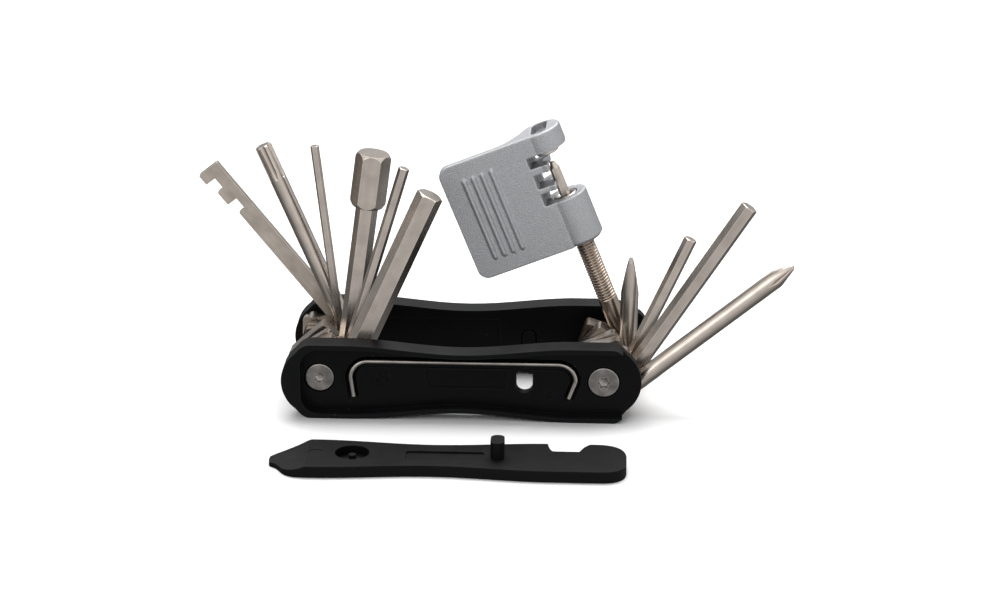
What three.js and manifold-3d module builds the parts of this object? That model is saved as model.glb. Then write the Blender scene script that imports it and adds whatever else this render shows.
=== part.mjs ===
// Folding bicycle multi-tool with a chain tool, standing on its lower edge with
// every tool fanned out. X runs along the case, Y from its front face to its back, Z up.
import * as THREE from 'three';
import { mergeVertices } from 'three/addons/utils/BufferGeometryUtils.js';
import Module from 'manifold-3d';

const wasm = await Module();
wasm.setup();

// ---- Driving dimensions, millimetres and degrees ----

// Case: two moulded halves held apart by two axles.
const AXLE_SPACING = 72.7; // distance between the two axles
const CASE_HEIGHT = 20; // height of a half at its ends
const CASE_END_RADIUS = 9.6; // rounded end around each axle
const CASE_WAIST = 2; // how far the top and bottom edges dip at the middle
const CASE_THICK = 5.7; // one half, rim included
const CASE_GAP = 26.2; // between the inner faces of the halves
const CASE_BEVEL = 0.5; // softened edge of a half
const RECESS_DEPTH = 3.2; // pocket that holds a tyre lever
const RIM_THICK = 1.2; // wall around that pocket
const RECESS_START = 4.65; // the pocket starts this far beyond the left axle
const RIM_STOP = 5.25; // its rims stop this far beyond the right axle
const BOSS_RADIUS = 6; // raised ring around each axle inside
const BOSS_HEIGHT = 0.9;
const PEG_HOLE_INSET = 20.25; // right axle to the slot that takes the lever's peg
const PEG_HOLE_WIDTH = 4.2;
const PEG_HOLE_HEIGHT = 6.4;
const FOOT_HALF_LENGTH = 7; // flat stretch of edge under each axle

// Axles.
const AXLE_BARREL_RADIUS = 2.9;
const AXLE_SCREW_RADIUS = 1.9;
const LEFT_HEAD_RADIUS = 3.75;
const RIGHT_HEAD_RADIUS = 4;
const HEAD_THICK = 1.3;
const HEAD_PROUD = 0.1; // head stands this far above the pocket floor

// Folding tools: a square plate on the axle and a shank beside it.
const PLATE_TURN = -40; // plate against its shank
const PLATE_LOW = 6.5; // axle to the plate's two near edges
const PLATE_RIGHT = 6.3; // axle to the edge the shank leaves
const PLATE_TOP = 7.3; // axle to the far edge
const PLATE_CORNER = 1.1;
const SMALL_PLATE_HALF = 5.7;
const SMALL_PLATE_TURN = -5.3;
const SHANK_ROOT = 0.8; // shank starts this far along, inside the plate

// Chain tool.
const CHAIN_OFFSET = 5.8; // rod beside the axle
const ROD_RADIUS = 2.5;
const ROD_END = 42.3; // axle to the end of the rod
const THREAD_START = 13;
const THREAD_PITCH = 0.8;
const THREAD_DEPTH = 0.28;
const CAST_START = 30.8; // axle to the foot of the casting
const CAST_END = 62.7; // axle to its top
const CAST_REACH = 28; // rod axis to the far edge of its plate
const CAST_PLATE_THICK = 2.3;
const CAST_BOSS_RADIUS = 5.6;
const CAST_RIB_PROUD = 0.35;
const CAST_RIB_WIDTH = 1.1;
const CAST_RIB_SPACING = 2.5;
const CAST_RIB_START = 35.3;
const CAST_RIB_END = 58;
const CAST_RIB_INSET = 5.8; // far edge of the plate to the first rib
const BOSS_TOP = 43.9;
const JAW_START = 57.4;
const RIDGE_LOW = 47.2; // first chain seat ridge
const RIDGE_LOW_THICK = 1.5;
const RIDGE_HIGH = 52.4; // second chain seat ridge
const RIDGE_HIGH_THICK = 2;
const SEAT_FLOOR = 5.25; // rod axis to the bottom of the chain slots
const RIDGE_TIP = 0.6;
const PIN_FLATS = 2.4;
const PIN_TIP = 53.2;
const BUSH_RADIUS = 4.4;
const ANVIL_RADIUS = 2.8;

// Chain hook, bent from wire.
const WIRE_RADIUS = 0.6;
const WIRE_SUNK = 0.25; // its centre line below the pocket floor
const HOOK_BEND = 4.6;
const HOOK_LEFT_INSET = 7.95; // each leg from its axle
const HOOK_RIGHT_INSET = 7.15;

// Tyre levers.
const LEVER_REACH = 11.4; // the lever ends this far beyond the right axle
const LEVER_THICK = 3;
const LEVER_TO_CASE = 20; // gap between the case and the loose lever
const LOOSE_SHIFT = 5; // the loose lever lies this far left of its pocket
const LEVER_FIT = 0.4; // play around a lever in its pocket
const PEG_HEIGHT = 4.6;
const REAR_PEG_HEIGHT = 2.7; // the back lever's peg stops short of the spoke wrench
const PEG_LENGTH = 5.4;
const PEG_WIDTH = 3.4;

// Fits.
const RUN_CLEAR = 0.3; // between parts that turn or slide
const CUT = 1; // how far cutting bodies run past a face

// ---- Values that follow ----
const AXLE_Z = CASE_HEIGHT / 2;
const AXLE_X = AXLE_SPACING / 2;
const INNER_Y = CASE_GAP / 2;
const OUTER_Y = INNER_Y + CASE_THICK;
const FLOOR_Y = OUTER_Y - RECESS_DEPTH;
const PLATE_LIMIT = INNER_Y - BOSS_HEIGHT - RUN_CLEAR;
const TOOL_HOLE = AXLE_BARREL_RADIUS + RUN_CLEAR;

const RECESS_LEFT = -AXLE_X - RECESS_START;
const RIM_RIGHT = AXLE_X + RIM_STOP;
const PEG_HOLE_X = AXLE_X - PEG_HOLE_INSET;
const LEVER_LEFT = RECESS_LEFT + LEVER_FIT;
const LEVER_LENGTH = AXLE_X + LEVER_REACH - LEVER_LEFT;
const HEAD_BACK = FLOOR_Y + HEAD_PROUD - HEAD_THICK; // underside of an axle head
const SCREW_END = PLATE_LIMIT - 4;

// Tools share the gap evenly: each has a layer as thick as its widest piece.
const LEFT_LAYERS = { hex6: 6, hex25: 2.5, hex8: 8, hex2: 2.6, torx: 4.4, spoke: 1.9 };
const RIGHT_LAYERS = { cross: 4.6, hex4: 4, hex3: 3, flat: 4.6 };

function layerCentres(layers, clear) {
  const centres = {};
  let y = -INNER_Y + clear;
  for (const [name, thick] of Object.entries(layers)) {
    centres[name] = y + thick / 2;
    y += thick + clear;
  }
  return centres;
}

const LEFT_FILL = Object.values(LEFT_LAYERS).reduce((sum, thick) => sum + thick, 0);
const LEFT_Y = layerCentres(LEFT_LAYERS, (CASE_GAP - LEFT_FILL) / 7);
const RIGHT_Y = layerCentres(RIGHT_LAYERS, 0.25);
const CAST_PLATE_Y = LEFT_Y.hex2 - 1; // the casting's plate swings in the 2 mm key's layer
const CHAIN_Y = CAST_PLATE_Y + 3.15; // its rod and boss lie behind

const deg = (angle) => (angle * Math.PI) / 180;

// ---- Solids ----
function solid(geometry) {
  const bare = new THREE.BufferGeometry();
  bare.setAttribute('position', geometry.attributes.position);
  if (geometry.index) bare.setIndex(geometry.index);
  const merged = mergeVertices(bare, 1e-4);
  const index = merged.index.array;
  const kept = [];
  for (let i = 0; i < index.length; i += 3) {
    const [a, b, c] = [index[i], index[i + 1], index[i + 2]];
    if (a !== b && b !== c && c !== a) kept.push(a, b, c);
  }
  const mesh = new wasm.Mesh({
    numProp: 3,
    vertProperties: Float32Array.from(merged.attributes.position.array),
    triVerts: Uint32Array.from(kept),
  });
  return new wasm.Manifold(mesh);
}

function toGeometry(body) {
  const mesh = body.getMesh();
  const geometry = new THREE.BufferGeometry();
  geometry.setAttribute('position', new THREE.BufferAttribute(mesh.vertProperties, 3));
  geometry.setIndex(new THREE.BufferAttribute(mesh.triVerts, 1));
  return geometry;
}

function extrude(shape, length, bevel, curveSegments) {
  return new THREE.ExtrudeGeometry(shape, {
    depth: length - 2 * bevel,
    bevelEnabled: bevel > 0,
    bevelThickness: bevel,
    bevelSize: bevel,
    bevelOffset: -bevel,
    bevelSegments: 1,
    curveSegments,
  }).translate(0, 0, bevel);
}

// A profile drawn in X and Z, given thickness from y0 to y1.
function slab(shape, y0, y1, bevel = 0, curveSegments = 8) {
  const geometry = extrude(shape, y1 - y0, bevel, curveSegments);
  return geometry.rotateX(Math.PI / 2).translate(0, y1, 0);
}

// A section drawn in (-v, y), run along the shank from u0 to u1.
function bar(shape, u0, u1, v, y, bevel = 0, curveSegments = 8) {
  const geometry = extrude(shape, u1 - u0, bevel, curveSegments);
  return geometry.rotateY(Math.PI / 2).translate(u0, y, v);
}

// A body turned about an axis along the shank; profile is [radius, u] pairs.
function turned(profile, v, y, segments = 24) {
  const points = profile.map(([r, u]) => new THREE.Vector2(r, u));
  const geometry = new THREE.LatheGeometry(points, segments);
  return geometry.rotateZ(-Math.PI / 2).translate(0, y, v);
}

// A round bar across the case, from y0 to y1.
function cross(radius, y0, y1, x, z, segments = 32) {
  const geometry = new THREE.CylinderGeometry(radius, radius, y1 - y0, segments);
  return geometry.translate(x, (y0 + y1) / 2, z);
}

function box(x0, x1, y0, y1, z0, z1) {
  const geometry = new THREE.BoxGeometry(x1 - x0, y1 - y0, z1 - z0);
  return geometry.translate((x0 + x1) / 2, (y0 + y1) / 2, (z0 + z1) / 2);
}

function polygon(points) {
  return new THREE.Shape(points.map(([x, y]) => new THREE.Vector2(x, y)));
}

function roundedRect(x0, x1, z0, z1, r) {
  const shape = new THREE.Shape();
  shape.moveTo(x0 + r, z0);
  shape.lineTo(x1 - r, z0);
  shape.absarc(x1 - r, z0 + r, r, -Math.PI / 2, 0, false);
  shape.lineTo(x1, z1 - r);
  shape.absarc(x1 - r, z1 - r, r, 0, Math.PI / 2, false);
  shape.lineTo(x0 + r, z1);
  shape.absarc(x0 + r, z1 - r, r, Math.PI / 2, Math.PI, false);
  shape.lineTo(x0, z0 + r);
  shape.absarc(x0 + r, z0 + r, r, Math.PI, 1.5 * Math.PI, false);
  return shape;
}

function hexagon(flats, turn = 0) {
  const corners = [0, 1, 2, 3, 4, 5].map((i) => {
    const angle = turn + (i * Math.PI) / 3;
    return [(flats / Math.sqrt(3)) * Math.cos(angle), (flats / Math.sqrt(3)) * Math.sin(angle)];
  });
  return polygon(corners);
}

// ---- Case ----

// How far the long edges dip at x: flat feet under the axles, a smooth waist between.
function edgeDip(x) {
  const reach = AXLE_X - FOOT_HALF_LENGTH;
  const t = Math.min(1, Math.abs(x) / reach);
  return CASE_WAIST * 0.5 * (1 + Math.cos(Math.PI * t));
}

// Outline with a waist, drawn `inset` inside the edge of a case half.
function waistedEdge(shape, x0, x1, inset, top) {
  const steps = 14;
  for (let i = 0; i <= steps; i += 1) {
    const x = x0 + ((x1 - x0) * i) / steps;
    const z = inset + edgeDip(x);
    shape.lineTo(x, top ? CASE_HEIGHT - z : z);
  }
}

function caseOutline() {
  const corner = AXLE_X + 3.5;
  const reach = AXLE_X - FOOT_HALF_LENGTH;
  const turn = deg(52);
  const shape = new THREE.Shape();
  shape.moveTo(-corner, 0);
  waistedEdge(shape, -reach, reach, 0, false);
  shape.lineTo(corner, 0);
  shape.absarc(AXLE_X, AXLE_Z, CASE_END_RADIUS, -turn, turn, false);
  shape.lineTo(corner, CASE_HEIGHT);
  waistedEdge(shape, reach, -reach, 0, true);
  shape.lineTo(-corner, CASE_HEIGHT);
  shape.absarc(-AXLE_X, AXLE_Z, CASE_END_RADIUS, Math.PI - turn, Math.PI + turn, false);
  return shape;
}

function recessOutline() {
  const radius = 2.6;
  const reach = AXLE_X - FOOT_HALF_LENGTH;
  const high = CASE_HEIGHT - RIM_THICK;
  const shape = new THREE.Shape();
  shape.moveTo(RECESS_LEFT + radius, RIM_THICK);
  waistedEdge(shape, -reach, reach, RIM_THICK, false);
  shape.lineTo(RIM_RIGHT, RIM_THICK);
  shape.lineTo(RIM_RIGHT, -CUT);
  shape.lineTo(AXLE_X + CASE_END_RADIUS + CUT, -CUT);
  shape.lineTo(AXLE_X + CASE_END_RADIUS + CUT, CASE_HEIGHT + CUT);
  shape.lineTo(RIM_RIGHT, CASE_HEIGHT + CUT);
  shape.lineTo(RIM_RIGHT, high);
  waistedEdge(shape, reach, -reach, RIM_THICK, true);
  shape.lineTo(RECESS_LEFT + radius, high);
  shape.absarc(RECESS_LEFT + radius, high - radius, radius, Math.PI / 2, Math.PI, false);
  shape.absarc(RECESS_LEFT + radius, RIM_THICK + radius, radius, Math.PI, 1.5 * Math.PI, false);
  return shape;
}

// Centre line of the wire hook, in the plane of the pocket floor.
function hookPath(y) {
  const [left, right] = [-AXLE_X + HOOK_LEFT_INSET, AXLE_X - HOOK_RIGHT_INSET];
  const top = AXLE_Z + 4.6;
  const points = [new THREE.Vector3(left + 0.7, y, AXLE_Z - 5)];
  points.push(new THREE.Vector3(left, y, top - HOOK_BEND));
  const bend = (cx, from, to) => {
    for (let i = 0; i <= 5; i += 1) {
      const angle = deg(from + ((to - from) * i) / 5);
      const x = cx + HOOK_BEND * Math.cos(angle);
      points.push(new THREE.Vector3(x, y, top - HOOK_BEND + HOOK_BEND * Math.sin(angle)));
    }
  };
  points.pop();
  bend(left + HOOK_BEND, 180, 90);
  bend(right - HOOK_BEND, 90, 0);
  points.push(new THREE.Vector3(right - 1.7, y, AXLE_Z - 4.6));
  const path = new THREE.CurvePath();
  for (let i = 1; i < points.length; i += 1) {
    path.add(new THREE.LineCurve3(points[i - 1], points[i]));
  }
  return path;
}

function alongHook(radius, y, sides) {
  const section = new THREE.Shape();
  section.absarc(0, 0, radius, 0, 2 * Math.PI, false);
  return new THREE.ExtrudeGeometry(section, {
    extrudePath: new THREE.CatmullRomCurve3(hookPath(y).getPoints(1), false, 'centripetal'),
    steps: 44,
    curveSegments: sides,
  });
}

// Front half as it stands; the back half is the same moulding turned over.
function caseHalf() {
  let body = solid(slab(caseOutline(), -OUTER_Y, -INNER_Y, CASE_BEVEL, 14));
  body = body.subtract(solid(slab(recessOutline(), -OUTER_Y - CUT, -FLOOR_Y, 0, 6)));
  for (const x of [-AXLE_X, AXLE_X]) {
    body = body.add(solid(cross(BOSS_RADIUS, -INNER_Y - 0.5, -INNER_Y + BOSS_HEIGHT, x, AXLE_Z, 48)));
    const bore = AXLE_BARREL_RADIUS + RUN_CLEAR;
    body = body.subtract(solid(cross(bore, -FLOOR_Y - CUT, -INNER_Y + CUT, x, AXLE_Z)));
    const headRadius = (x < 0 ? LEFT_HEAD_RADIUS : RIGHT_HEAD_RADIUS) + RUN_CLEAR;
    const headFloor = -FLOOR_Y + HEAD_THICK - HEAD_PROUD + RUN_CLEAR;
    body = body.subtract(solid(cross(headRadius, -FLOOR_Y - CUT, headFloor, x, AXLE_Z)));
  }
  const halfWidth = PEG_HOLE_WIDTH / 2;
  const halfHeight = PEG_HOLE_HEIGHT / 2;
  const slot = roundedRect(
    PEG_HOLE_X - halfWidth, PEG_HOLE_X + halfWidth, AXLE_Z - halfHeight, AXLE_Z + halfHeight, 1.9,
  );
  body = body.subtract(solid(slab(slot, -OUTER_Y, -INNER_Y + CUT)));
  body = body.subtract(solid(alongHook(WIRE_RADIUS + RUN_CLEAR, -FLOOR_Y + WIRE_SUNK, 3)));
  const panel = polygon([[-9.4, 2.8], [-8.8, -1.4], [-8.2, -2.2], [11.6, -2.2], [12, 2.8]]);
  return body.subtract(solid(slab(panel, -FLOOR_Y - CUT, -FLOOR_Y + 0.45).translate(0, 0, AXLE_Z)));
}

function turnedOver(geometry) {
  return geometry.rotateX(Math.PI).translate(0, 0, CASE_HEIGHT);
}

// ---- Axles ----
function starSocket(radius, lobes, y0, y1, x) {
  let body = solid(cross(radius * 0.78, y0, y1, x, AXLE_Z, 18));
  for (let i = 0; i < lobes; i += 1) {
    const angle = (i * 2 * Math.PI) / lobes;
    const [dx, dz] = [0.72 * radius * Math.cos(angle), 0.72 * radius * Math.sin(angle)];
    body = body.add(solid(cross(radius * 0.3, y0, y1, x + dx, AXLE_Z + dz, 10)));
  }
  return body;
}

// Screw with a flat head, in from the front.
function axleScrew(x, headRadius, hexSocket) {
  const face = -FLOOR_Y - HEAD_PROUD;
  let body = solid(cross(headRadius, face, face + HEAD_THICK, x, AXLE_Z, 40));
  const shank = cross(AXLE_SCREW_RADIUS, face + 0.5, SCREW_END, x, AXLE_Z, 20);
  body = body.add(solid(shank));
  if (hexSocket) {
    const socket = hexagon(2.6, Math.PI / 6);
    return body.subtract(solid(slab(socket, face - CUT, face + 1).translate(x, 0, AXLE_Z)));
  }
  return body.subtract(starSocket(1.6, 6, face - CUT, face + 1, x));
}

// Sleeve nut from the back; the tools turn on it.
function axleBarrel(x, headRadius) {
  const face = FLOOR_Y + HEAD_PROUD;
  const foot = -HEAD_BACK + RUN_CLEAR;
  let body = solid(cross(headRadius, face - HEAD_THICK, face, x, AXLE_Z, 40));
  body = body.add(solid(cross(AXLE_BARREL_RADIUS, foot, face - 0.5, x, AXLE_Z)));
  body = body.subtract(solid(cross(AXLE_SCREW_RADIUS + RUN_CLEAR, foot - CUT, SCREW_END + CUT, x, AXLE_Z, 20)));
  const socket = hexagon(2.6, Math.PI / 6);
  return body.subtract(solid(slab(socket, face - 1, face + CUT).translate(x, 0, AXLE_Z)));
}

function washer(x, y0, y1) {
  const ring = solid(cross(BOSS_RADIUS - 0.4, y0, y1, x, AXLE_Z, 32));
  return ring.subtract(solid(cross(TOOL_HOLE, y0 - CUT, y1 + CUT, x, AXLE_Z)));
}

// ---- Folding tools, drawn with the axle at the origin and the shank along +X ----
function basePlate(y0, y1) {
  const square = roundedRect(-PLATE_LOW, PLATE_RIGHT, -PLATE_LOW, PLATE_TOP, PLATE_CORNER);
  return solid(slab(square, y0, y1, 0.25, 3).rotateY(-deg(PLATE_TURN)));
}

// The 2 mm key's plate is smaller and set square, so the chain tool can swing past it.
function smallPlate(y0, y1) {
  const half = SMALL_PLATE_HALF;
  const square = roundedRect(-half, half, -half, half, PLATE_CORNER);
  return solid(slab(square, y0, y1, 0.25, 3).rotateY(-deg(SMALL_PLATE_TURN)));
}

// Bore for the axle, and room for the raised rings of the case.
function onAxle(body) {
  let out = body.subtract(solid(cross(TOOL_HOLE, -2 * OUTER_Y, 2 * OUTER_Y, 0, 0, 32)));
  const ring = BOSS_RADIUS + 0.4;
  out = out.subtract(solid(cross(ring, PLATE_LIMIT, 2 * OUTER_Y, 0, 0, 40)));
  return out.subtract(solid(cross(ring, -2 * OUTER_Y, -PLATE_LIMIT, 0, 0, 40)));
}

function hexKey({ flats, length, offset, y, plate = basePlate }) {
  const shank = bar(hexagon(flats), SHANK_ROOT, length, -offset, y, Math.min(0.4, flats / 8));
  return onAxle(plate(y - flats / 2, y + flats / 2).add(solid(shank)));
}

function adapter8({ length, offset, y }) {
  const sleeve = 14.2;
  const start = length - sleeve + 1.6;
  const end = length + 1.6;
  const cone = turned([[0, start], [4.1, start], [4.75, start + 1.1], [4.75, end - 1.1],
    [4.1, end], [0, end]], -offset, y, 40);
  let body = solid(bar(hexagon(8), start, end, -offset, y)).intersect(solid(cone));
  body = body.subtract(solid(bar(hexagon(5 + 2 * 0.15), start - CUT, length + 0.3, -offset, y)));
  return body;
}

function torxKey({ radius, length, offset, y }) {
  const fluted = 8;
  const profile = [[0, SHANK_ROOT], [radius, SHANK_ROOT], [radius, length - 0.4],
    [radius - 0.4, length], [0, length]];
  let body = solid(turned(profile, -offset, y, 30));
  for (let i = 0; i < 6; i += 1) {
    const angle = (i * Math.PI) / 3;
    const groove = [[0, length - fluted], [0.75, length - fluted + 1.5], [0.75, length + CUT], [0, length + CUT]];
    const reach = radius + 0.22;
    const [dv, dy] = [reach * Math.cos(angle), reach * Math.sin(angle)];
    body = body.subtract(solid(turned(groove, -offset + dv, y + dy, 12)));
  }
  return onAxle(basePlate(y - radius, y + radius).add(body));
}

// Flat key with two square notches for spoke nipples; it widens in steps towards its tip.
function spokeWrench({ thick, width, middle, tip, length, offset, y }) {
  const low = -offset - 2.6;
  const notch = 3.3;
  const depth = 2.9;
  const first = length - 3.2 - notch;
  const second = first - 4.3 - notch;
  const outline = [[SHANK_ROOT, low], [length, low], [length, low + tip], [first + notch, low + tip],
    [first + notch, low + tip - depth], [first, low + tip - depth], [first, low + middle],
    [second + notch, low + middle], [second + notch, low + middle - depth],
    [second, low + middle - depth], [second, low + width], [SHANK_ROOT, low + width]];
  const body = solid(slab(polygon(outline), y - thick / 2, y + thick / 2, 0.2));
  return onAxle(basePlate(y - thick / 2, y + thick / 2).add(body));
}

function crossDriver({ radius, length, offset, y }) {
  const point = 5.5;
  const profile = [[0, SHANK_ROOT], [radius, SHANK_ROOT], [radius, length - point],
    [0.75, length - 0.5], [0, length]];
  let body = solid(turned(profile, -offset, y, 24));
  for (let i = 0; i < 4; i += 1) {
    const quarter = new THREE.BoxGeometry(point + 4, 3, 3).translate(0, 1.5, 1.5);
    const corner = quarter.rotateZ(-deg(9)).rotateY(deg(9)).translate(length - 4.2, 1, 1);
    corner.rotateX(((i + 0.5) * Math.PI) / 2).translate(0, y, -offset);
    body = body.subtract(solid(corner));
  }
  return onAxle(basePlate(y - radius, y + radius).add(body));
}

function flatDriver({ radius, length, offset, y }) {
  const taper = 9;
  const tip = 0.45;
  const shaft = bar(new THREE.Shape().absarc(0, 0, radius, 0, 2 * Math.PI, false),
    SHANK_ROOT, length, -offset, y, 0, 16);
  const wedge = new THREE.Shape();
  wedge.moveTo(0, -offset - radius - CUT);
  wedge.lineTo(length - taper, -offset - radius);
  wedge.quadraticCurveTo(length - 2, -offset - 1.1, length, -offset - tip);
  wedge.lineTo(length, -offset + tip);
  wedge.quadraticCurveTo(length - 2, -offset + 1.1, length - taper, -offset + radius);
  wedge.lineTo(0, -offset + radius + CUT);
  const blade = solid(shaft).intersect(solid(slab(wedge, y - 5, y + 5)));
  return onAxle(basePlate(y - radius, y + radius).add(blade));
}

// ---- Chain tool, drawn like the other tools ----
function chainRod() {
  const profile = [[0, SHANK_ROOT], [ROD_RADIUS, SHANK_ROOT], [ROD_RADIUS, THREAD_START]];
  for (let u = THREAD_START; u < ROD_END - THREAD_PITCH; u += THREAD_PITCH) {
    profile.push([ROD_RADIUS - THREAD_DEPTH, u + 0.4 * THREAD_PITCH]);
    profile.push([ROD_RADIUS, u + THREAD_PITCH]);
  }
  profile.push([ROD_RADIUS - 0.4, ROD_END], [0, ROD_END]);
  let body = solid(turned(profile, -CHAIN_OFFSET, CHAIN_Y, 14));
  const socket = [[0, ROD_END - 4], [1.3, ROD_END - 4], [1.3, ROD_END + CUT], [0, ROD_END + CUT]];
  body = body.subtract(solid(turned(socket, -CHAIN_OFFSET, CHAIN_Y, 16)));
  return onAxle(basePlate(CHAIN_Y - ROD_RADIUS, CHAIN_Y + ROD_RADIUS).add(body));
}

function drivePin() {
  const foot = ROD_END - 4 + RUN_CLEAR;
  const head = ROD_END + 0.5;
  const stem = [[0, foot], [1, foot], [1, head + 1], [0, head + 1]];
  const point = [[0, head], [1.5, head], [1.5, PIN_TIP - 2.2], [0.45, PIN_TIP], [0, PIN_TIP]];
  const hex = solid(bar(hexagon(PIN_FLATS), head, PIN_TIP + CUT, -CHAIN_OFFSET, CHAIN_Y));
  const tip = hex.intersect(solid(turned(point, -CHAIN_OFFSET, CHAIN_Y, 24)));
  return tip.add(solid(turned(stem, -CHAIN_OFFSET, CHAIN_Y, 16)));
}

function threadBush() {
  const lip = BOSS_TOP - 0.4;
  const bore = ROD_RADIUS + RUN_CLEAR;
  const profile = [[bore, CAST_START + 1.5], [BUSH_RADIUS, CAST_START + 1.5],
    [BUSH_RADIUS, BOSS_TOP], [BUSH_RADIUS - 0.6, BOSS_TOP + 0.4], [1.75, BOSS_TOP + 0.4],
    [1.75, lip], [bore, lip], [bore, CAST_START + 1.5]];
  return solid(turned(profile, -CHAIN_OFFSET, CHAIN_Y, 32));
}

// Section across the rod: a round boss blending into a flat plate.
function castSection() {
  const front = CAST_PLATE_Y - CHAIN_Y;
  const back = front + CAST_PLATE_THICK;
  const shape = new THREE.Shape();
  shape.moveTo(-CAST_REACH, front + 0.5);
  shape.quadraticCurveTo(-CAST_REACH, front, -CAST_REACH + 0.5, front);
  shape.lineTo(-9.6, front);
  shape.quadraticCurveTo(-6.6, front, -4.1, -3.8);
  shape.lineTo(0, 0);
  shape.lineTo(-3.4, 4.4);
  shape.quadraticCurveTo(-7.4, back + 0.6, -11.5, back);
  shape.lineTo(-CAST_REACH + 0.5, back);
  shape.quadraticCurveTo(-CAST_REACH, back, -CAST_REACH, back - 0.5);
  return shape;
}

// Side view: rounded plate on one side, jaws and chain slots on the other.
function castOutline() {
  const r = 2.6;
  const side = -CAST_BOSS_RADIUS - CUT;
  const shape = new THREE.Shape();
  shape.moveTo(CAST_START, side);
  shape.lineTo(CAST_START, CAST_REACH - r);
  shape.absarc(CAST_START + r, CAST_REACH - r, r, Math.PI, Math.PI / 2, true);
  shape.lineTo(CAST_END - r, CAST_REACH);
  shape.absarc(CAST_END - r, CAST_REACH - r, r, Math.PI / 2, 0, true);
  shape.lineTo(CAST_END, -3.6);
  shape.lineTo(CAST_END - 1.6, -5.2);
  shape.lineTo(JAW_START + 1, -5.2);
  shape.lineTo(JAW_START, -4.2);
  for (const [start, thick] of [[RIDGE_HIGH, RIDGE_HIGH_THICK], [RIDGE_LOW, RIDGE_LOW_THICK]]) {
    const end = start + thick;
    shape.lineTo(end === RIDGE_LOW + RIDGE_LOW_THICK ? RIDGE_HIGH : JAW_START, SEAT_FLOOR);
    shape.lineTo(end, SEAT_FLOOR);
    shape.lineTo(end, RIDGE_TIP);
    shape.lineTo(start, RIDGE_TIP);
    shape.lineTo(start, SEAT_FLOOR);
  }
  shape.lineTo(BOSS_TOP, SEAT_FLOOR);
  shape.lineTo(BOSS_TOP, side);
  return shape;
}

function castBody() {
  const v = -CHAIN_OFFSET;
  const cut = (profile) => solid(turned(profile, v, CHAIN_Y, 24));
  let body = solid(bar(castSection(), CAST_START, CAST_END, v, CHAIN_Y, 0, 6));
  const boss = [[0, CAST_START], [CAST_BOSS_RADIUS - 0.8, CAST_START],
    [CAST_BOSS_RADIUS, CAST_START + 0.8], [CAST_BOSS_RADIUS, CAST_END - 1.2],
    [CAST_BOSS_RADIUS - 1.2, CAST_END], [0, CAST_END]];
  body = body.add(solid(turned(boss, v, CHAIN_Y, 40)));
  const side = slab(castOutline(), CHAIN_Y - 8, CHAIN_Y + 8, 0, 5).translate(0, 0, v);
  body = body.intersect(solid(side));
  for (let i = 0; i < 4; i += 1) {
    const w = v + CAST_REACH - CAST_RIB_INSET - i * CAST_RIB_SPACING;
    const half = CAST_RIB_WIDTH / 2;
    const rib = roundedRect(CAST_RIB_START, CAST_RIB_END, w - half, w + half, 0.5);
    body = body.add(solid(slab(rib, CAST_PLATE_Y - CAST_RIB_PROUD, CAST_PLATE_Y + 0.5, 0, 4)));
  }
  const bore = ROD_RADIUS + 0.5;
  const seat = BUSH_RADIUS + RUN_CLEAR;
  body = body.subtract(cut([[0, CAST_START - CUT], [bore, CAST_START - CUT],
    [bore, CAST_START + 1.2], [seat, CAST_START + 1.2], [seat, BOSS_TOP + CUT], [0, BOSS_TOP + CUT]]));
  body = body.subtract(cut([[0, BOSS_TOP], [2, BOSS_TOP], [2, JAW_START], [2.1, JAW_START],
    [2.1, CAST_END + CUT], [0, CAST_END + CUT]]));
  const pocket = roundedRect(-1.7, 1.7, -3.6, 3.6, 1.6);
  const swung = bar(pocket, CAST_END - 2.2, CAST_END + CUT, v, CHAIN_Y, 0, 6);
  return body.subtract(solid(swung));
}

function anvil() {
  const top = CAST_END - 1.4;
  const profile = [[1.1, JAW_START - 1.2], [ANVIL_RADIUS, JAW_START - 1.2],
    [ANVIL_RADIUS, JAW_START - RUN_CLEAR], [1.8, JAW_START - RUN_CLEAR], [1.8, top],
    [1.1, top], [1.1, JAW_START - 1.2]];
  return solid(turned(profile, -CHAIN_OFFSET, CHAIN_Y, 24));
}

// ---- Tyre lever, lying with its inner face up, left end at x = 0 ----
function leverOutline() {
  const [low, high] = [RIM_THICK + LEVER_FIT, CASE_HEIGHT - RIM_THICK - LEVER_FIT];
  const left = LEVER_LEFT;
  const right = left + LEVER_LENGTH;
  const mid = CASE_HEIGHT / 2;
  const reach = AXLE_X - FOOT_HALF_LENGTH;
  const shape = new THREE.Shape();
  shape.moveTo(left, mid - 1.2);
  shape.lineTo(left + 1.6, mid - 3);
  shape.lineTo(left + 3.4, mid - 4.4);
  shape.lineTo(left + 9, low);
  waistedEdge(shape, -reach, right - 21, low, false);
  shape.lineTo(right - 19.4, low + edgeDip(right - 19.4));
  shape.lineTo(right - 18.6, low + 4.6);
  shape.lineTo(right - 11.4, low + 4.6);
  shape.lineTo(right - 9, low);
  shape.lineTo(right - 7.5, low);
  shape.quadraticCurveTo(right, low, right, low + 8);
  shape.lineTo(right, high - 6);
  shape.quadraticCurveTo(right, high, right - 6.5, high);
  waistedEdge(shape, reach, -reach, low, true);
  shape.lineTo(left + 9, high);
  shape.quadraticCurveTo(left + 4.6, high, left + 3.2, mid + 5.4);
  shape.lineTo(left + 2.2, mid + 3.2);
  shape.lineTo(left, mid + 1.4);
  return shape;
}

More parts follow.
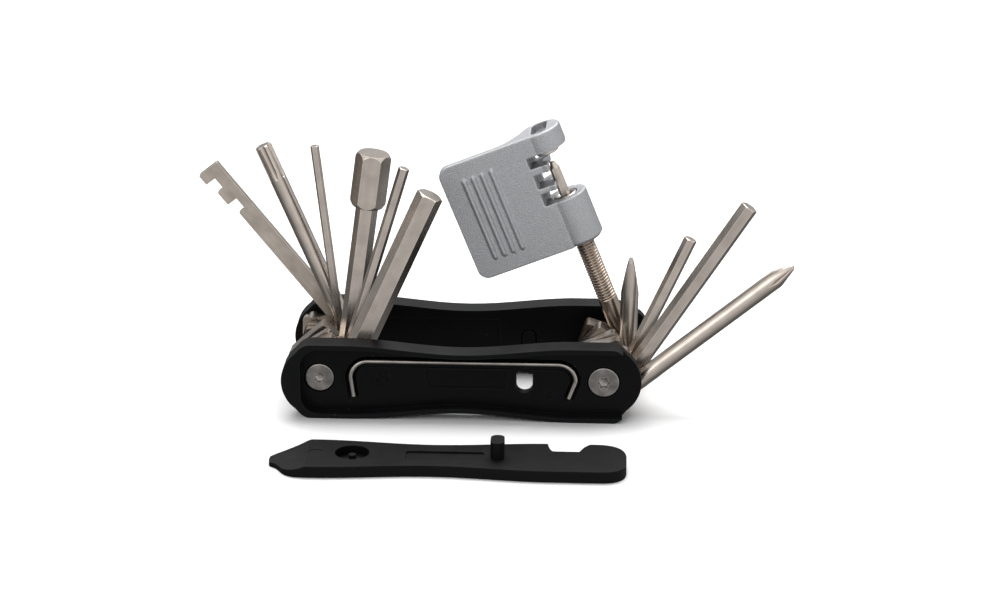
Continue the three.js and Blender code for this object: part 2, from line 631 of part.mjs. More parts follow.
// The lever where it sits in the front pocket, its inner face against the floor.
function leverInPlace(pegHeight) {
  const inner = -FLOOR_Y - LEVER_FIT;
  const outer = inner - LEVER_THICK;
  const left = LEVER_LEFT;
  let body = solid(slab(leverOutline(), outer, inner, 0.4, 6));
  const scoop = new THREE.Shape();
  scoop.moveTo(left - CUT, inner + CUT);
  scoop.lineTo(left - CUT, outer + 1.1);
  scoop.quadraticCurveTo(left + 6, outer + 1.4, left + 10, inner);
  scoop.lineTo(left + 10, inner + CUT);
  const side = new THREE.ExtrudeGeometry(scoop, { depth: 30, bevelEnabled: false, curveSegments: 8 });
  body = body.subtract(solid(side.translate(0, 0, -5)));
  body = body.subtract(solid(cross(4.3, inner - 1.9, inner + CUT, left + 20.8, AXLE_Z - 0.8, 28)));
  const [x0, x1] = [left + 34, left + 53.4];
  body = body.subtract(solid(slab(roundedRect(x0, x1, AXLE_Z - 2.4, AXLE_Z + 3.4, 0.8), inner - 1.2, inner + CUT)));
  const [w, l] = [PEG_WIDTH / 2, PEG_LENGTH / 2];
  const peg = roundedRect(PEG_HOLE_X - w, PEG_HOLE_X + w, AXLE_Z - l, AXLE_Z + l, 1.5);
  const pegBody = solid(slab(peg, inner - 0.5, inner + pegHeight, 0.4, 4));
  return body.add(pegBody);
}

// ---- Assembly ----
const LEFT_TOOLS = [
  ['hex_key_6', 65.7, hexKey({ flats: 6, length: 55.3, offset: 6.2, y: LEFT_Y.hex6 })],
  ['hex_key_2_5', 73.1, hexKey({ flats: 2.5, length: 57.3, offset: 5.1, y: LEFT_Y.hex25 })],
  ['hex_key_5', 82.1, hexKey({ flats: 5, length: 55.2, offset: 5.7, y: LEFT_Y.hex8 })],
  ['hex_adapter_8', 82.1, adapter8({ length: 55.2, offset: 5.7, y: LEFT_Y.hex8 })],
  ['hex_key_2', 96.3, hexKey({ flats: 2, length: 55.4, offset: 3.8, y: LEFT_Y.hex2 + 0.15, plate: smallPlate })],
  ['torx_key_25', 112.7, torxKey({ radius: 2.2, length: 56.3, offset: 6.1, y: LEFT_Y.torx })],
  ['spoke_wrench', 128.5, spokeWrench({
    thick: 1.9, width: 4.4, middle: 5.3, tip: 6.2, length: 56, offset: 5.4, y: LEFT_Y.spoke,
  })],
];
const RIGHT_TOOLS = [
  ['cross_driver', 39.6, crossDriver({ radius: 2.3, length: 56, offset: 6.6, y: RIGHT_Y.cross })],
  ['hex_key_4', 57.4, hexKey({ flats: 4, length: 57, offset: 6.3, y: RIGHT_Y.hex4 })],
  ['hex_key_3', 66, hexKey({ flats: 3, length: 40.3, offset: 5.6, y: RIGHT_Y.hex3 })],
  ['flat_driver', 88.7, flatDriver({ radius: 2.3, length: 27.1, offset: 5.8, y: RIGHT_Y.flat })],
  ['chain_tool_rod', 111.7, chainRod()],
  ['drive_pin', 111.7, drivePin()],
  ['thread_bush', 111.7, threadBush()],
  ['chain_tool_body', 111.7, castBody()],
  ['chain_anvil', 111.7, anvil()],
];

const FINISHES = {
  plastic: [0x1a1a1c, 0.6, 0],
  steel: [0xa89e95, 0.3, 0.95],
  bright: [0xb4aea8, 0.3, 0.95],
  casting: [0xa6a6a9, 0.5, 0.85],
};

function assemble() {
  const root = new THREE.Group();
  const put = (name, body, finish) => {
    const geometry = body.isBufferGeometry ? body : toGeometry(body);
    const [color, roughness, metalness] = FINISHES[finish];
    const flat = geometry.index ? geometry.toNonIndexed() : geometry;
    flat.computeVertexNormals();
    const mesh = new THREE.Mesh(flat, new THREE.MeshStandardMaterial({ color, roughness, metalness }));
    mesh.name = name;
    root.add(mesh);
  };
  const fan = (tools, x) => {
    for (const [name, angle, body] of tools) {
      const turnedTool = toGeometry(body).rotateY(-deg(angle)).translate(x, 0, AXLE_Z);
      put(name, turnedTool, name === 'chain_tool_body' ? 'casting' : 'steel');
    }
  };
  put('front_case', caseHalf(), 'plastic');
  put('rear_case', turnedOver(toGeometry(caseHalf())), 'plastic');
  put('left_axle_screw', axleScrew(-AXLE_X, LEFT_HEAD_RADIUS, true), 'bright');
  put('right_axle_screw', axleScrew(AXLE_X, RIGHT_HEAD_RADIUS, false), 'bright');
  put('left_axle_barrel', axleBarrel(-AXLE_X, LEFT_HEAD_RADIUS), 'bright');
  put('right_axle_barrel', axleBarrel(AXLE_X, RIGHT_HEAD_RADIUS), 'bright');
  put('left_spacer_front', washer(-AXLE_X, LEFT_Y.hex25 + 1.5, LEFT_Y.hex8 - 2.8), 'bright');
  put('left_spacer_back', washer(-AXLE_X, LEFT_Y.hex8 + 2.8, LEFT_Y.hex2 - 1.15), 'bright');
  put('right_spacer', washer(AXLE_X, CHAIN_Y + ROD_RADIUS + RUN_CLEAR, PLATE_LIMIT), 'bright');
  put('chain_hook', solid(alongHook(WIRE_RADIUS, -FLOOR_Y + WIRE_SUNK, 4)), 'bright');
  fan(LEFT_TOOLS, -AXLE_X);
  fan(RIGHT_TOOLS, AXLE_X);
  put('rear_tyre_lever', turnedOver(toGeometry(leverInPlace(REAR_PEG_HEIGHT))), 'plastic');
  const loose = toGeometry(leverInPlace(PEG_HEIGHT));
  loose.translate(-LOOSE_SHIFT, FLOOR_Y + LEVER_FIT + LEVER_THICK, -CASE_HEIGHT / 2);
  loose.rotateX(Math.PI / 2).translate(0, -OUTER_Y - LEVER_TO_CASE - CASE_HEIGHT / 2 + RIM_THICK, 0);
  put('front_tyre_lever', loose, 'plastic');

  const bounds = new THREE.Box3().setFromObject(root);
  const centre = bounds.getCenter(new THREE.Vector3());
  root.position.set(-centre.x, -centre.y, -bounds.min.z);
  return root;
}

export default assemble();
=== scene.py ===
# %% [markdown]
# # A folding bicycle tool with its chain tool raised
# The object is a pocket tool kit: two black plastic case halves, two steel axles,
# and a fan of keys and drivers.
# Every moving piece already exists as a plain CAD solid.
# This script gives each one its real surface and finish.

# %% Load the solids that every piece is fitted to
import math

import bmesh
import bpy
from mathutils import Matrix, Vector


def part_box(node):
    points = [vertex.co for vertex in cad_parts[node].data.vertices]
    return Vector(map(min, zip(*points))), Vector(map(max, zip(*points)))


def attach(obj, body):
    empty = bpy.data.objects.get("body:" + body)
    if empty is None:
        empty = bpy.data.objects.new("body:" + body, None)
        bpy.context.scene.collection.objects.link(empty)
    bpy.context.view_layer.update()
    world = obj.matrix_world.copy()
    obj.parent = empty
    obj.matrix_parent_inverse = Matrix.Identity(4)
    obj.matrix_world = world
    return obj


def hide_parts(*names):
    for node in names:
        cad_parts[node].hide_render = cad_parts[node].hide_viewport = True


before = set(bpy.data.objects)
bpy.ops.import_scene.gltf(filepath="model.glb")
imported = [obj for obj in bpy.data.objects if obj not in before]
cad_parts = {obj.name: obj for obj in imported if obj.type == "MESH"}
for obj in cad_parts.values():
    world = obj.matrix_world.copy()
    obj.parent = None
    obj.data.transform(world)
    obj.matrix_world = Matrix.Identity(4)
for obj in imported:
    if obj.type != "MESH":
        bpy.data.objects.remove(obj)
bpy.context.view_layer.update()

# %% [markdown]
# Both axles run straight through the case, so their screws give the two centres that all tools turn
# about.

# %% Find the axles and the case faces
def middle(node):
    low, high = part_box(node)
    return (low + high) / 2

left_axle = middle("left_axle_screw")
right_axle = middle("right_axle_screw")
case_front, case_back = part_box("front_case")[0].y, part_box("rear_case")[1].y
case_mid = Vector(((left_axle.x + right_axle.x) / 2, (case_front + case_back) / 2, 0))
MM = 0.001
HALF = (right_axle.x - left_axle.x) / 2 / MM
OUTER = (case_back - case_front) / 2 / MM
HALF_THICK, RECESS = 5.7, 3.2
INNER = OUTER - HALF_THICK
FLOOR = OUTER - RECESS
print("axle spacing %.1f mm, case %.1f mm deep" % (2 * HALF, 2 * OUTER))

# %% Small tools for building meshes in millimetres
def new_object(name, bm):
    bmesh.ops.recalc_face_normals(bm, faces=bm.faces)
    mesh = bpy.data.meshes.new(name)
    bm.to_mesh(mesh)
    bm.free()
    obj = bpy.data.objects.new(name, mesh)
    bpy.context.scene.collection.objects.link(obj)
    return obj

def span(name, near_end, far_end):
    """A solid between two end faces that have the same number of corners."""
    bm = bmesh.new()
    near = [bm.verts.new(p) for p in near_end]
    far = [bm.verts.new(p) for p in far_end]
    bm.faces.new(near)
    bm.faces.new(list(reversed(far)))
    for i in range(len(near)):
        j = (i + 1) % len(near)
        bm.faces.new((near[i], near[j], far[j], far[i]))
    return new_object(name, bm)

def prism(name, outline, y0, y1):
    """A flat outline in X and Z, given thickness along Y."""
    return span(name, [(x, y0, z) for x, z in outline], [(x, y1, z) for x, z in outline])

def along_x(name, section, x0, x1, y=0.0, z=0.0):
    """A section of (y, z) points, given length along X."""
    return span(name, [(x0, y + q, z + p) for q, p in section], [(x1, y + q, z + p) for q, p in section])

def lathe(name, profile, segments=48, y=0.0, z=0.0):
    """A profile of (radius, x) pairs turned about an axis along X."""
    bm = bmesh.new()
    rings = []
    for radius, x in profile:
        if radius < 1e-6:
            rings.append([bm.verts.new((x, y, z))])
            continue
        angles = [2 * math.pi * i / segments for i in range(segments)]
        rings.append([bm.verts.new((x, y + radius * math.cos(a), z + radius * math.sin(a)))
                      for a in angles])
    closing = [rings[0]] if len(rings[0]) > 1 else []
    for a, b in zip(rings, rings[1:] + closing):
        for i in range(segments):
            j = (i + 1) % segments
            quad = [a[i % len(a)], a[j % len(a)], b[j % len(b)], b[i % len(b)]]
            quad = list(dict.fromkeys(quad))
            if len(quad) > 2:
                bm.faces.new(quad)
    return new_object(name, bm)

def combine(base, other, how):
    """Cuts, joins or intersects two solids and removes the second."""
    mod = base.modifiers.new("combine", "BOOLEAN")
    mod.operation, mod.object, mod.solver = how, other, "EXACT"
    bake(base)
    bpy.data.objects.remove(other, do_unlink=True)
    return base

def bake(obj):
    """Turns the modifiers into plain mesh."""
    graph = bpy.context.evaluated_depsgraph_get()
    mesh = bpy.data.meshes.new_from_object(obj.evaluated_get(graph))
    old = obj.data
    obj.modifiers.clear()
    obj.data = mesh
    bpy.data.meshes.remove(old)
    return obj

def cut(base, other):
    return combine(base, other, "DIFFERENCE")

def add(base, other):
    return combine(base, other, "UNION")

def keep(base, other):
    return combine(base, other, "INTERSECT")

def turn(obj, angle, axis, about=(0, 0, 0)):
    c = Matrix.Translation(about)
    obj.data.transform(c @ Matrix.Rotation(math.radians(angle), 4, axis) @ c.inverted())
    return obj

def shift(obj, x=0.0, y=0.0, z=0.0):
    obj.data.transform(Matrix.Translation((x, y, z)))
    return obj

def round_bar(name, radius, y0, y1, x=0.0, z=0.0, segments=48):
    bar = lathe(name, [(0, y0), (radius, y0), (radius, y1), (0, y1)], segments)
    turn(bar, 90, "Z")
    return shift(bar, x=x, z=z)

def arc(cx, cz, r, a0, a1, n=8):
    return [(cx + r * math.cos(math.radians(a0 + (a1 - a0) * i / n)),
             cz + r * math.sin(math.radians(a0 + (a1 - a0) * i / n))) for i in range(n + 1)]

def bend(p0, p1, p2, n=10):
    """Points on a smooth curve from p0 to p2 that is pulled towards p1."""
    out = []
    for i in range(n + 1):
        t = i / n
        out.append(tuple((1 - t) ** 2 * a + 2 * t * (1 - t) * b + t * t * c
                         for a, b, c in zip(p0, p1, p2)))
    return out

def rounded_rect(x0, x1, z0, z1, r, n=6):
    return (arc(x1 - r, z0 + r, r, -90, 0, n) + arc(x1 - r, z1 - r, r, 0, 90, n)
            + arc(x0 + r, z1 - r, r, 90, 180, n) + arc(x0 + r, z0 + r, r, 180, 270, n))

def hexagon(flats, x=0.0, z=0.0, start=0):
    return [(x + flats / math.sqrt(3) * math.cos(math.radians(start + 60 * i)),
             z + flats / math.sqrt(3) * math.sin(math.radians(start + 60 * i))) for i in range(6)]

def remember_rest(mesh):
    """Stores where each vertex is before its tool is turned, so that grain follows the tool."""
    rest = mesh.attributes.new("rest_place", "FLOAT_VECTOR", "POINT")
    rest.data.foreach_set("vector", [c for v in mesh.vertices for c in v.co])

def place(obj, where, angle=0.0, edge=0.2, segments=2, body="case", replaces=()):
    """Softens the edges, turns millimetres to metres and fixes the piece to its body."""
    bm = bmesh.new()
    bm.from_mesh(obj.data)
    bmesh.ops.remove_doubles(bm, verts=bm.verts, dist=0.002)
    bmesh.ops.dissolve_limit(bm, angle_limit=math.radians(0.5), verts=bm.verts, edges=bm.edges)
    bm.to_mesh(obj.data)
    bm.free()
    if edge:
        mod = obj.modifiers.new("edge", "BEVEL")
        mod.width, mod.segments, mod.limit_method = edge, segments, "ANGLE"
        mod.angle_limit = math.radians(28)
        mod.use_clamp_overlap = True
        mod.miter_outer = "MITER_ARC"
        bake(obj)
    obj.data.transform(Matrix.Scale(MM, 4))
    obj.data.shade_smooth()
    obj.data.set_sharp_from_angle(angle=math.radians(40))
    obj.modifiers.new("normals", "WEIGHTED_NORMAL").keep_sharp = True
    remember_rest(obj.data)
    obj.data.transform(Matrix.Rotation(math.radians(-angle), 4, "Y"))
    obj.matrix_world = Matrix.Translation(where)
    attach(obj, body)
    if replaces:
        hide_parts(*replaces)
    return obj

# %% [markdown]
# The case is two copies of one nylon moulding, and the second is turned over.
# Its edges dip in a smooth waist between the axles and stay flat where it stands on the table.
# A polygon outline with thickness is the natural start,
# because a moulding is the same all the way through.
# The waist is a cosine, so it leaves the flat stretches without a kink.

# %% Outlines of the case half
CASE_HIGH = 20.0
AXLE_HIGH = CASE_HIGH / 2
WAIST = 2.0
END_RADIUS = 9.6
RIM = 1.2
REACH = HALF - 7
PEG_X = HALF - 20.25

def dip(x):
    return WAIST * 0.5 * (1 + math.cos(math.pi * min(1, abs(x) / REACH)))

def long_edge(x0, x1, inset, top, n=44):
    out = []
    for i in range(n + 1):
        x = x0 + (x1 - x0) * i / n
        z = inset + dip(x)
        out.append((x, CASE_HIGH - z if top else z))
    return out

def case_outline():
    turn_in = math.radians(52)
    ex, ez = END_RADIUS * math.cos(turn_in), END_RADIUS * math.sin(turn_in)
    low, high = AXLE_HIGH - ez, AXLE_HIGH + ez
    line = long_edge(-REACH, REACH, 0, False)
    line += bend((HALF + 2.2, 0), (HALF + 4.1, 0), (HALF + ex, low), 5)
    line += arc(HALF, AXLE_HIGH, END_RADIUS, -52, 52, 26)[1:-1]
    line += bend((HALF + ex, high), (HALF + 4.1, CASE_HIGH), (HALF + 2.2, CASE_HIGH), 5)
    line += long_edge(REACH, -REACH, 0, True)
    line += bend((-HALF - 2.2, CASE_HIGH), (-HALF - 4.1, CASE_HIGH), (-HALF - ex, high), 5)
    line += arc(-HALF, AXLE_HIGH, END_RADIUS, 128, 232, 26)[1:-1]
    line += bend((-HALF - ex, low), (-HALF - 4.1, 0), (-HALF - 2.2, 0), 5)
    return line

def pocket_outline():
    left, stop, r = -HALF - 4.65, HALF + 5.25, 4.8
    far = HALF + END_RADIUS + 1
    line = arc(left + r, RIM + r, r, 180, 270) + long_edge(-REACH, REACH, RIM, False)
    line += [(stop, RIM), (stop, -1), (far, -1)]
    line += [(far, CASE_HIGH + 1), (stop, CASE_HIGH + 1), (stop, CASE_HIGH - RIM)]
    line += long_edge(REACH, -REACH, RIM, True) + arc(left + r, CASE_HIGH - RIM - r, r, 90, 180)
    return line

print("outline points:", len(case_outline()), "and", len(pocket_outline()))

# %% [markdown]
# A wire hook lies in a shallow groove of the pocket floor, so the groove and the wire share one path.
# The path is straight runs joined by arcs, and a round section is swept along it with a frame that
# never twists.

# %% The path of the wire and a sweep
HOOK_BEND = 4.6
HOOK_TOP = AXLE_HIGH + 4.6

def hook_path():
    left, right = -HALF + 7.95, HALF - 7.15
    line = [(left + 0.7, AXLE_HIGH - 5.0)]
    line += arc(left + HOOK_BEND, HOOK_TOP - HOOK_BEND, HOOK_BEND, 180, 90, 14)
    line += arc(right - HOOK_BEND, HOOK_TOP - HOOK_BEND, HOOK_BEND, 90, 0, 14)
    return line + [(right - 1.7, AXLE_HIGH - 4.6)]

def sweep(name, line, radius, y, segments=20, dome=0.0):
    """A round section along a path in the XZ plane at depth y, with slightly domed ends."""
    points = [Vector((x, y, z)) for x, z in line]
    bm = bmesh.new()
    rings = []
    stations = [(p, radius) for p in points]
    if dome:
        first = (points[0] - points[1]).normalized()
        last = (points[-1] - points[-2]).normalized()
        stations = ([(points[0] + first * dome, radius * 0.72)] + stations
                    + [(points[-1] + last * dome, radius * 0.72)])
    path = [p for p, _ in stations]
    for i, (p, r) in enumerate(stations):
        ahead = path[min(i + 1, len(path) - 1)] - path[max(i - 1, 0)]
        ahead.normalize()
        side = Vector((0, 1, 0)).cross(ahead).normalized()
        ring = []
        for k in range(segments):
            a = 2 * math.pi * k / segments
            out = side * (r * math.cos(a)) + Vector((0, r * math.sin(a), 0))
            ring.append(bm.verts.new(p + out))
        rings.append(ring)
    for a, b in zip(rings, rings[1:]):
        for k in range(segments):
            bm.faces.new((a[k], a[(k + 1) % segments], b[(k + 1) % segments], b[k]))
    bm.faces.new(rings[0])
    bm.faces.new(list(reversed(rings[-1])))
    return new_object(name, bm)

print("hook path points:", len(hook_path()))

# %% [markdown]
# Each half is cut like the mould cuts it: pocket, axle bores, screw seats,
# the slot for the lever's peg and the groove.
# Boolean cuts keep those edges exact, and one bevel at the end gives every edge the small radius a
# mould leaves.

# %% Build one case half
def case_half(name):
    body = prism(name, case_outline(), -OUTER, -INNER)
    cut(body, prism("pocket", pocket_outline(), -OUTER - 1, -FLOOR))
    for x, head in ((-HALF, 4.05), (HALF, 4.3)):
        add(body, round_bar("ring", 6.0, -INNER - 0.5, -INNER + 0.9, x, AXLE_HIGH, 64))
        cut(body, round_bar("bore", 3.2, -FLOOR - 1, -INNER + 2, x, AXLE_HIGH, 48))
        cut(body, round_bar("seat", head, -FLOOR - 1, -FLOOR + 1.5, x, AXLE_HIGH, 64))
    slot = rounded_rect(PEG_X - 2.1, PEG_X + 2.1, AXLE_HIGH - 3.2, AXLE_HIGH + 3.2, 1.9)
    cut(body, prism("slot", slot, -OUTER, -INNER + 1))
    panel = [(-9.4, 12.8), (-8.8, 8.6), (-8.2, 7.8), (11.6, 7.8), (12, 12.8)]
    cut(body, prism("panel", panel, -FLOOR - 1, -FLOOR + 0.45))
    # Sink marks and ejector rounds that the mould leaves in the floor.
    for x, z, r in ((-20.0, 11.4, 1.5), (-21.1, 9.8, 0.9), (-18.9, 9.8, 0.9), (22.5, 6.4, 1.1)):
        cut(body, round_bar("mark", r, -FLOOR - 1, -FLOOR + 0.4, x, z, 32))
    # A long shallow step inside, where the folded keys lie.
    step = rounded_rect(-26, 8.5, 4.4, 15.2, 0.8)
    cut(body, prism("inside_step", step, -INNER - 1.0, -INNER + 2))
    # The groove is wider than it is deep, so its round cutter is squashed towards the floor.
    to_floor = Matrix.Translation((0, -FLOOR, 0))
    groove = sweep("groove", hook_path(), 1.45, -FLOOR, 16, dome=0.9)
    groove.data.transform(to_floor @ Matrix.Diagonal((1, 0.62, 1, 1)) @ to_floor.inverted())
    cut(body, groove)
    return body

front_half = case_half("case_front_half")
place(front_half, case_mid, edge=0.3, segments=3, replaces=["front_case"])
rear_half = case_half("case_rear_half")
turn(rear_half, 180, "X", (0, 0, AXLE_HIGH))
place(rear_half, case_mid, edge=0.3, segments=3, replaces=["rear_case"])
print("case half:", len(front_half.data.polygons), "faces")

# %% [markdown]
# Each axle is a flat-headed screw in a sleeve nut,
# and the heads sit in the pockets just above the floor.
# A head is a turned disc, so a lathed profile gives its flat face and rounded rim.
# The socket ends in a drill point.
# The left screw takes a hex key and the right one a six-lobed key.

# %% Build the screws and sleeve nuts
def star(radius, n=96):
    """A six-lobed outline with soft valleys."""
    out = []
    for i in range(n):
        a = 2 * math.pi * i / n
        r = radius * (0.86 + 0.14 * math.cos(6 * a))
        out.append((r * math.cos(a), r * math.sin(a)))
    return out

HEAD_THICK = 1.3
NUT_SOCKET = hexagon(2.6, start=30)

def axle_head(name, radius, socket):
    """Head with its face at y = 0 and its shank going towards +Y."""
    profile = [(0, 0.0), (radius - 0.5, 0.0), (radius - 0.14, 0.1), (radius, 0.4)]
    profile += [(radius, HEAD_THICK), (0, HEAD_THICK)]
    head = turn(lathe(name, profile, 72), 90, "Z")
    cut(head, prism("socket", socket, -1, 0.7))
    drill = lathe("drill_point", [(0, 0.5), (1.5, 0.5), (1.15, 0.72), (0, 1.2)], 6)
    return cut(head, turn(drill, 90, "Z"))

axle_parts = []
for side, axle, radius, socket in (("left", left_axle, 3.75, NUT_SOCKET),
                                   ("right", right_axle, 4.0, star(1.72))):
    where = Vector((axle.x, case_mid.y, left_axle.z))
    face = -FLOOR - 0.1
    screw = axle_head(side + "_screw", radius, socket)
    shift(screw, y=face)
    add(screw, round_bar("shank", 1.9, face + 1.2, 7.9, segments=40))
    place(screw, where, edge=0.06, segments=2, replaces=[side + "_axle_screw"])
    nut = axle_head(side + "_nut", radius, NUT_SOCKET)
    turn(nut, 180, "X")
    shift(nut, y=-face)
    sleeve = round_bar("sleeve", 2.9, -FLOOR + 1.5, -face - 1.2, segments=56)
    cut(sleeve, round_bar("sleeve_bore", 2.2, -FLOOR, 9.0, segments=40))
    add(nut, sleeve)
    place(nut, where, edge=0.06, segments=2, replaces=[side + "_axle_barrel"])
    axle_parts += [screw, nut]
print("axle pieces:", [p.name for p in axle_parts])

# %% [markdown]
# Thin washers take up the room between tools of different thickness on one axle.
# They are plain turned rings, so each is a lathed profile around its axle.

# %% Build the spacers
AXLE_HOLE = 3.2

def washer(name, node, axle):
    low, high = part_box(node)
    y0, y1 = (low.y - case_mid.y) / MM, (high.y - case_mid.y) / MM
    ring = turn(lathe(name, [(AXLE_HOLE, y0), (5.6, y0), (5.6, y1), (AXLE_HOLE, y1)], 56), 90, "Z")
    where = Vector((axle.x, case_mid.y, left_axle.z))
    return place(ring, where, edge=0.08, segments=2, replaces=[node])

spacers = [washer("washer_left_front", "left_spacer_front", left_axle),
           washer("washer_left_back", "left_spacer_back", left_axle),
           washer("washer_right", "right_spacer", right_axle)]
print("washers:", len(spacers))

# %% [markdown]
# The wire hook holds a chain together while a link is changed.
# It is bent from one length of 1.2 mm wire.
# The groove's own path gives its centre line, so it cannot miss its groove.

# %% Build the hook
hook = sweep("wire_hook", hook_path(), 0.6, -FLOOR + 0.25, 24, dome=0.12)
place(hook, case_mid, edge=0, body="chain_hook", replaces=["chain_hook"])
print("hook faces:", len(hook.data.polygons))

# %% [markdown]
# Every folding tool is a shank welded beside a thick square plate with a hole for the axle.
# The tools are built lying along X with the axle at the origin,
# then turned to the angle each one stands at.
# That keeps the measurements simple, and keeps the drawn lines of the steel along each shank.

# %% Helpers for folding tools
RING_CLEAR = 6.4
LIMIT = INNER - 1.2
SHANK_ROOT = 0.8

def depth_of(node):
    """Middle depth of a tool, from the case's middle plane."""
    low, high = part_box(node)
    return ((low.y + high.y) / 2 - case_mid.y) / MM

def base_plate(name, y0, y1, tilt=-40.0, low=6.5, right=6.3, top=7.3, corner=1.1):
    plate = prism(name, rounded_rect(-low, right, -low, top, corner, 5), y0, y1)
    return turn(plate, -tilt, "Y")

def small_plate(name, y0, y1):
    return base_plate(name, y0, y1, -5.3, 5.7, 5.7, 5.7)

def on_axle(body):
    cut(body, round_bar("hole", AXLE_HOLE, -30, 30, segments=48))
    cut(body, round_bar("room", RING_CLEAR, LIMIT, 30, segments=64))
    cut(body, round_bar("room", RING_CLEAR, -30, -LIMIT, segments=64))
    return body

def hex_bar(name, flats, u0, u1, v, y, chamfer):
    """A hexagonal bar along X with a turned chamfer on its free end."""
    bar = along_x(name, [(q, p) for p, q in hexagon(flats)], u0, u1, y, v)
    tip = flats / 2 - chamfer * 0.35
    wide = flats / math.sqrt(3) + 0.3
    shoulder = u1 - (wide - tip) * 0.6
    profile = [(0, u0 - 1), (wide, u0 - 1), (wide, shoulder), (tip, u1), (0, u1)]
    return keep(bar, lathe("cone", profile, 64, y, v))

def stand(obj, side, angle, edge, body, node, segments=2):
    axle = left_axle if side == "left" else right_axle
    where = Vector((axle.x, case_mid.y, axle.z))
    return place(obj, where, angle, edge, segments, body, [node])

print("tools stay within %.1f mm of the middle plane" % LIMIT)

# %% [markdown]
# Hex keys are the simplest: drawn hexagonal bar, cut and chamfered.
# The chamfer is a real one here, made by keeping only what lies inside a turned cone.

# %% Build the hex keys
KEYS = [("left", "hex_key_6", 65.7, 6.0, 55.3, 6.2), ("left", "hex_key_2_5", 73.1, 2.5, 57.3, 5.1),
        ("left", "hex_key_5", 82.1, 5.0, 55.2, 5.7), ("left", "hex_key_2", 96.3, 2.0, 55.4, 3.8),
        ("right", "hex_key_4", 57.4, 4.0, 57.0, 6.3), ("right", "hex_key_3", 66.0, 3.0, 40.3, 5.6)]
keys = []
for side, node, angle, flats, length, offset in KEYS:
    y = depth_of(node)
    plate = small_plate if flats == 2.0 else base_plate
    key = add(plate("key_" + node[8:], y - flats / 2, y + flats / 2),
              hex_bar("bar", flats, SHANK_ROOT, length, -offset, y, min(0.45, flats / 8)))
    keys.append(stand(on_axle(key), side, angle, 0.14 if flats < 3 else 0.2, node, node))
print("hex keys:", [k.name for k in keys])

# %% [markdown]
# The 8 mm adapter is a short sleeve that slips over the 5 mm key.
# Both of its ends are turned to a cone.

# %% Build the adapter
def adapter(length=55.2, offset=5.7, sleeve=14.2):
    y = depth_of("hex_adapter_8")
    start, end = length + 1.6 - sleeve, length + 1.6
    body = hex_bar("adapter_8", 8.0, start, end, -offset, y, 0.0)
    cone = [(0, start), (3.95, start), (4.72, start + 1.25), (4.72, end - 1.25), (3.95, end), (0, end)]
    keep(body, lathe("cone", cone, 80, y, -offset))
    return cut(body, hex_bar("bore", 5.3, start - 1, length + 0.3, -offset, y, 0.1))

sleeve = stand(adapter(), "left", 82.1, 0.16, "hex_adapter_8", "hex_adapter_8")
print("adapter faces:", len(sleeve.data.polygons))

# %% [markdown]
# The T25 key is a round bar with six grooves milled into its end.
# The grooves run out in a slope, as a cutter leaves them.

# %% Build the six-lobed key
def lobed_key(radius=2.2, length=56.3, offset=6.1, fluted=10.0):
    y = depth_of("torx_key_25")
    profile = [(0, SHANK_ROOT), (radius, SHANK_ROOT), (radius, length - 0.4), (radius - 0.4, length)]
    bar = lathe("bar", profile + [(0, length)], 64, y, -offset)
    start, reach = length - fluted, radius + 0.22
    groove = [(0, start), (0.5, start + 0.6), (0.85, start + 2.6), (0.85, length + 1), (0, length + 1)]
    for i in range(6):
        a = math.radians(60 * i + 30)
        cut(bar, lathe("groove", groove, 24, y + reach * math.sin(a), -offset + reach * math.cos(a)))
    plate = add(base_plate("lobed_key", y - radius, y + radius), bar)
    return on_axle(plate)

lobed = stand(lobed_key(), "left", 112.7, 0.1, "torx_key_25", "torx_key_25")
print("six-lobed key faces:", len(lobed.data.polygons))

# %% [markdown]
# The spoke wrench is stamped from flat steel. Its two notches fit spoke nipples,
# so they are cut square and clean.

# %% Build the spoke wrench
def spoke_key(thick=1.9, width=4.4, middle_width=5.3, tip_width=6.2, length=56.0, offset=5.4):
    y = depth_of("spoke_wrench")
    low = -offset - 2.6
    first = length - 3.2 - 3.3
    second = first - 4.3 - 3.3
    line = [(SHANK_ROOT, low)] + arc(length - 0.3, low + 0.3, 0.3, -90, 0, 3)
    line += arc(length - 0.5, low + tip_width - 0.5, 0.5, 0, 90, 4)
    for u, top, below in ((first, tip_width, middle_width), (second, middle_width, width)):
        line += [(u + 3.5, low + top), (u + 3.3, low + top - 0.2)]
        line += [(u + 3.3, low + top - 2.9), (u, low + top - 2.9)]
        line += arc(u - 0.35, low + below - 0.35, 0.35, 0, 90, 3)
    line += [(SHANK_ROOT, low + width)]
    body = prism("bar", line, y - thick / 2, y + thick / 2)
    plate = add(base_plate("spoke_key", y - thick / 2, y + thick / 2), body)
    return on_axle(plate)

spoke = stand(spoke_key(), "left", 128.5, 0.16, "spoke_wrench", "spoke_wrench")
print("spoke wrench faces:", len(spoke.data.polygons))

# %% [markdown]
# The cross driver is ground from round bar: a cone, then four square grooves that leave the wings.

# %% Build the cross driver
def wing_groove(x0, gap0, x1, gap1):
    """A square groove whose inner corner runs from gap0 to gap1 off the axis."""
    near, far = [[(x, gap, gap), (x, 5, gap), (x, 5, 5), (x, gap, 5)]
                 for x, gap in ((x0, gap0), (x1, gap1))]
    return span("groove", near, far)

def cross_bit(radius=2.3, length=56.0, offset=6.6, point=5.5):
    y = depth_of("cross_driver")
    profile = [(0, SHANK_ROOT), (radius, SHANK_ROOT), (radius, length - point)]
    profile += [(radius - 0.12, length - point + 0.4), (0.85, length - 0.6), (0.3, length - 0.06)]
    bar = lathe("bar", profile + [(0, length)], 64, y, -offset)
    for i in range(4):
        groove = turn(wing_groove(length - 9.0, 1.75, length + 1.0, 0.24), 90 * i + 45, "X")
        cut(bar, shift(groove, y=y, z=-offset))
    return on_axle(add(base_plate("cross_bit", y - radius, y + radius), bar))

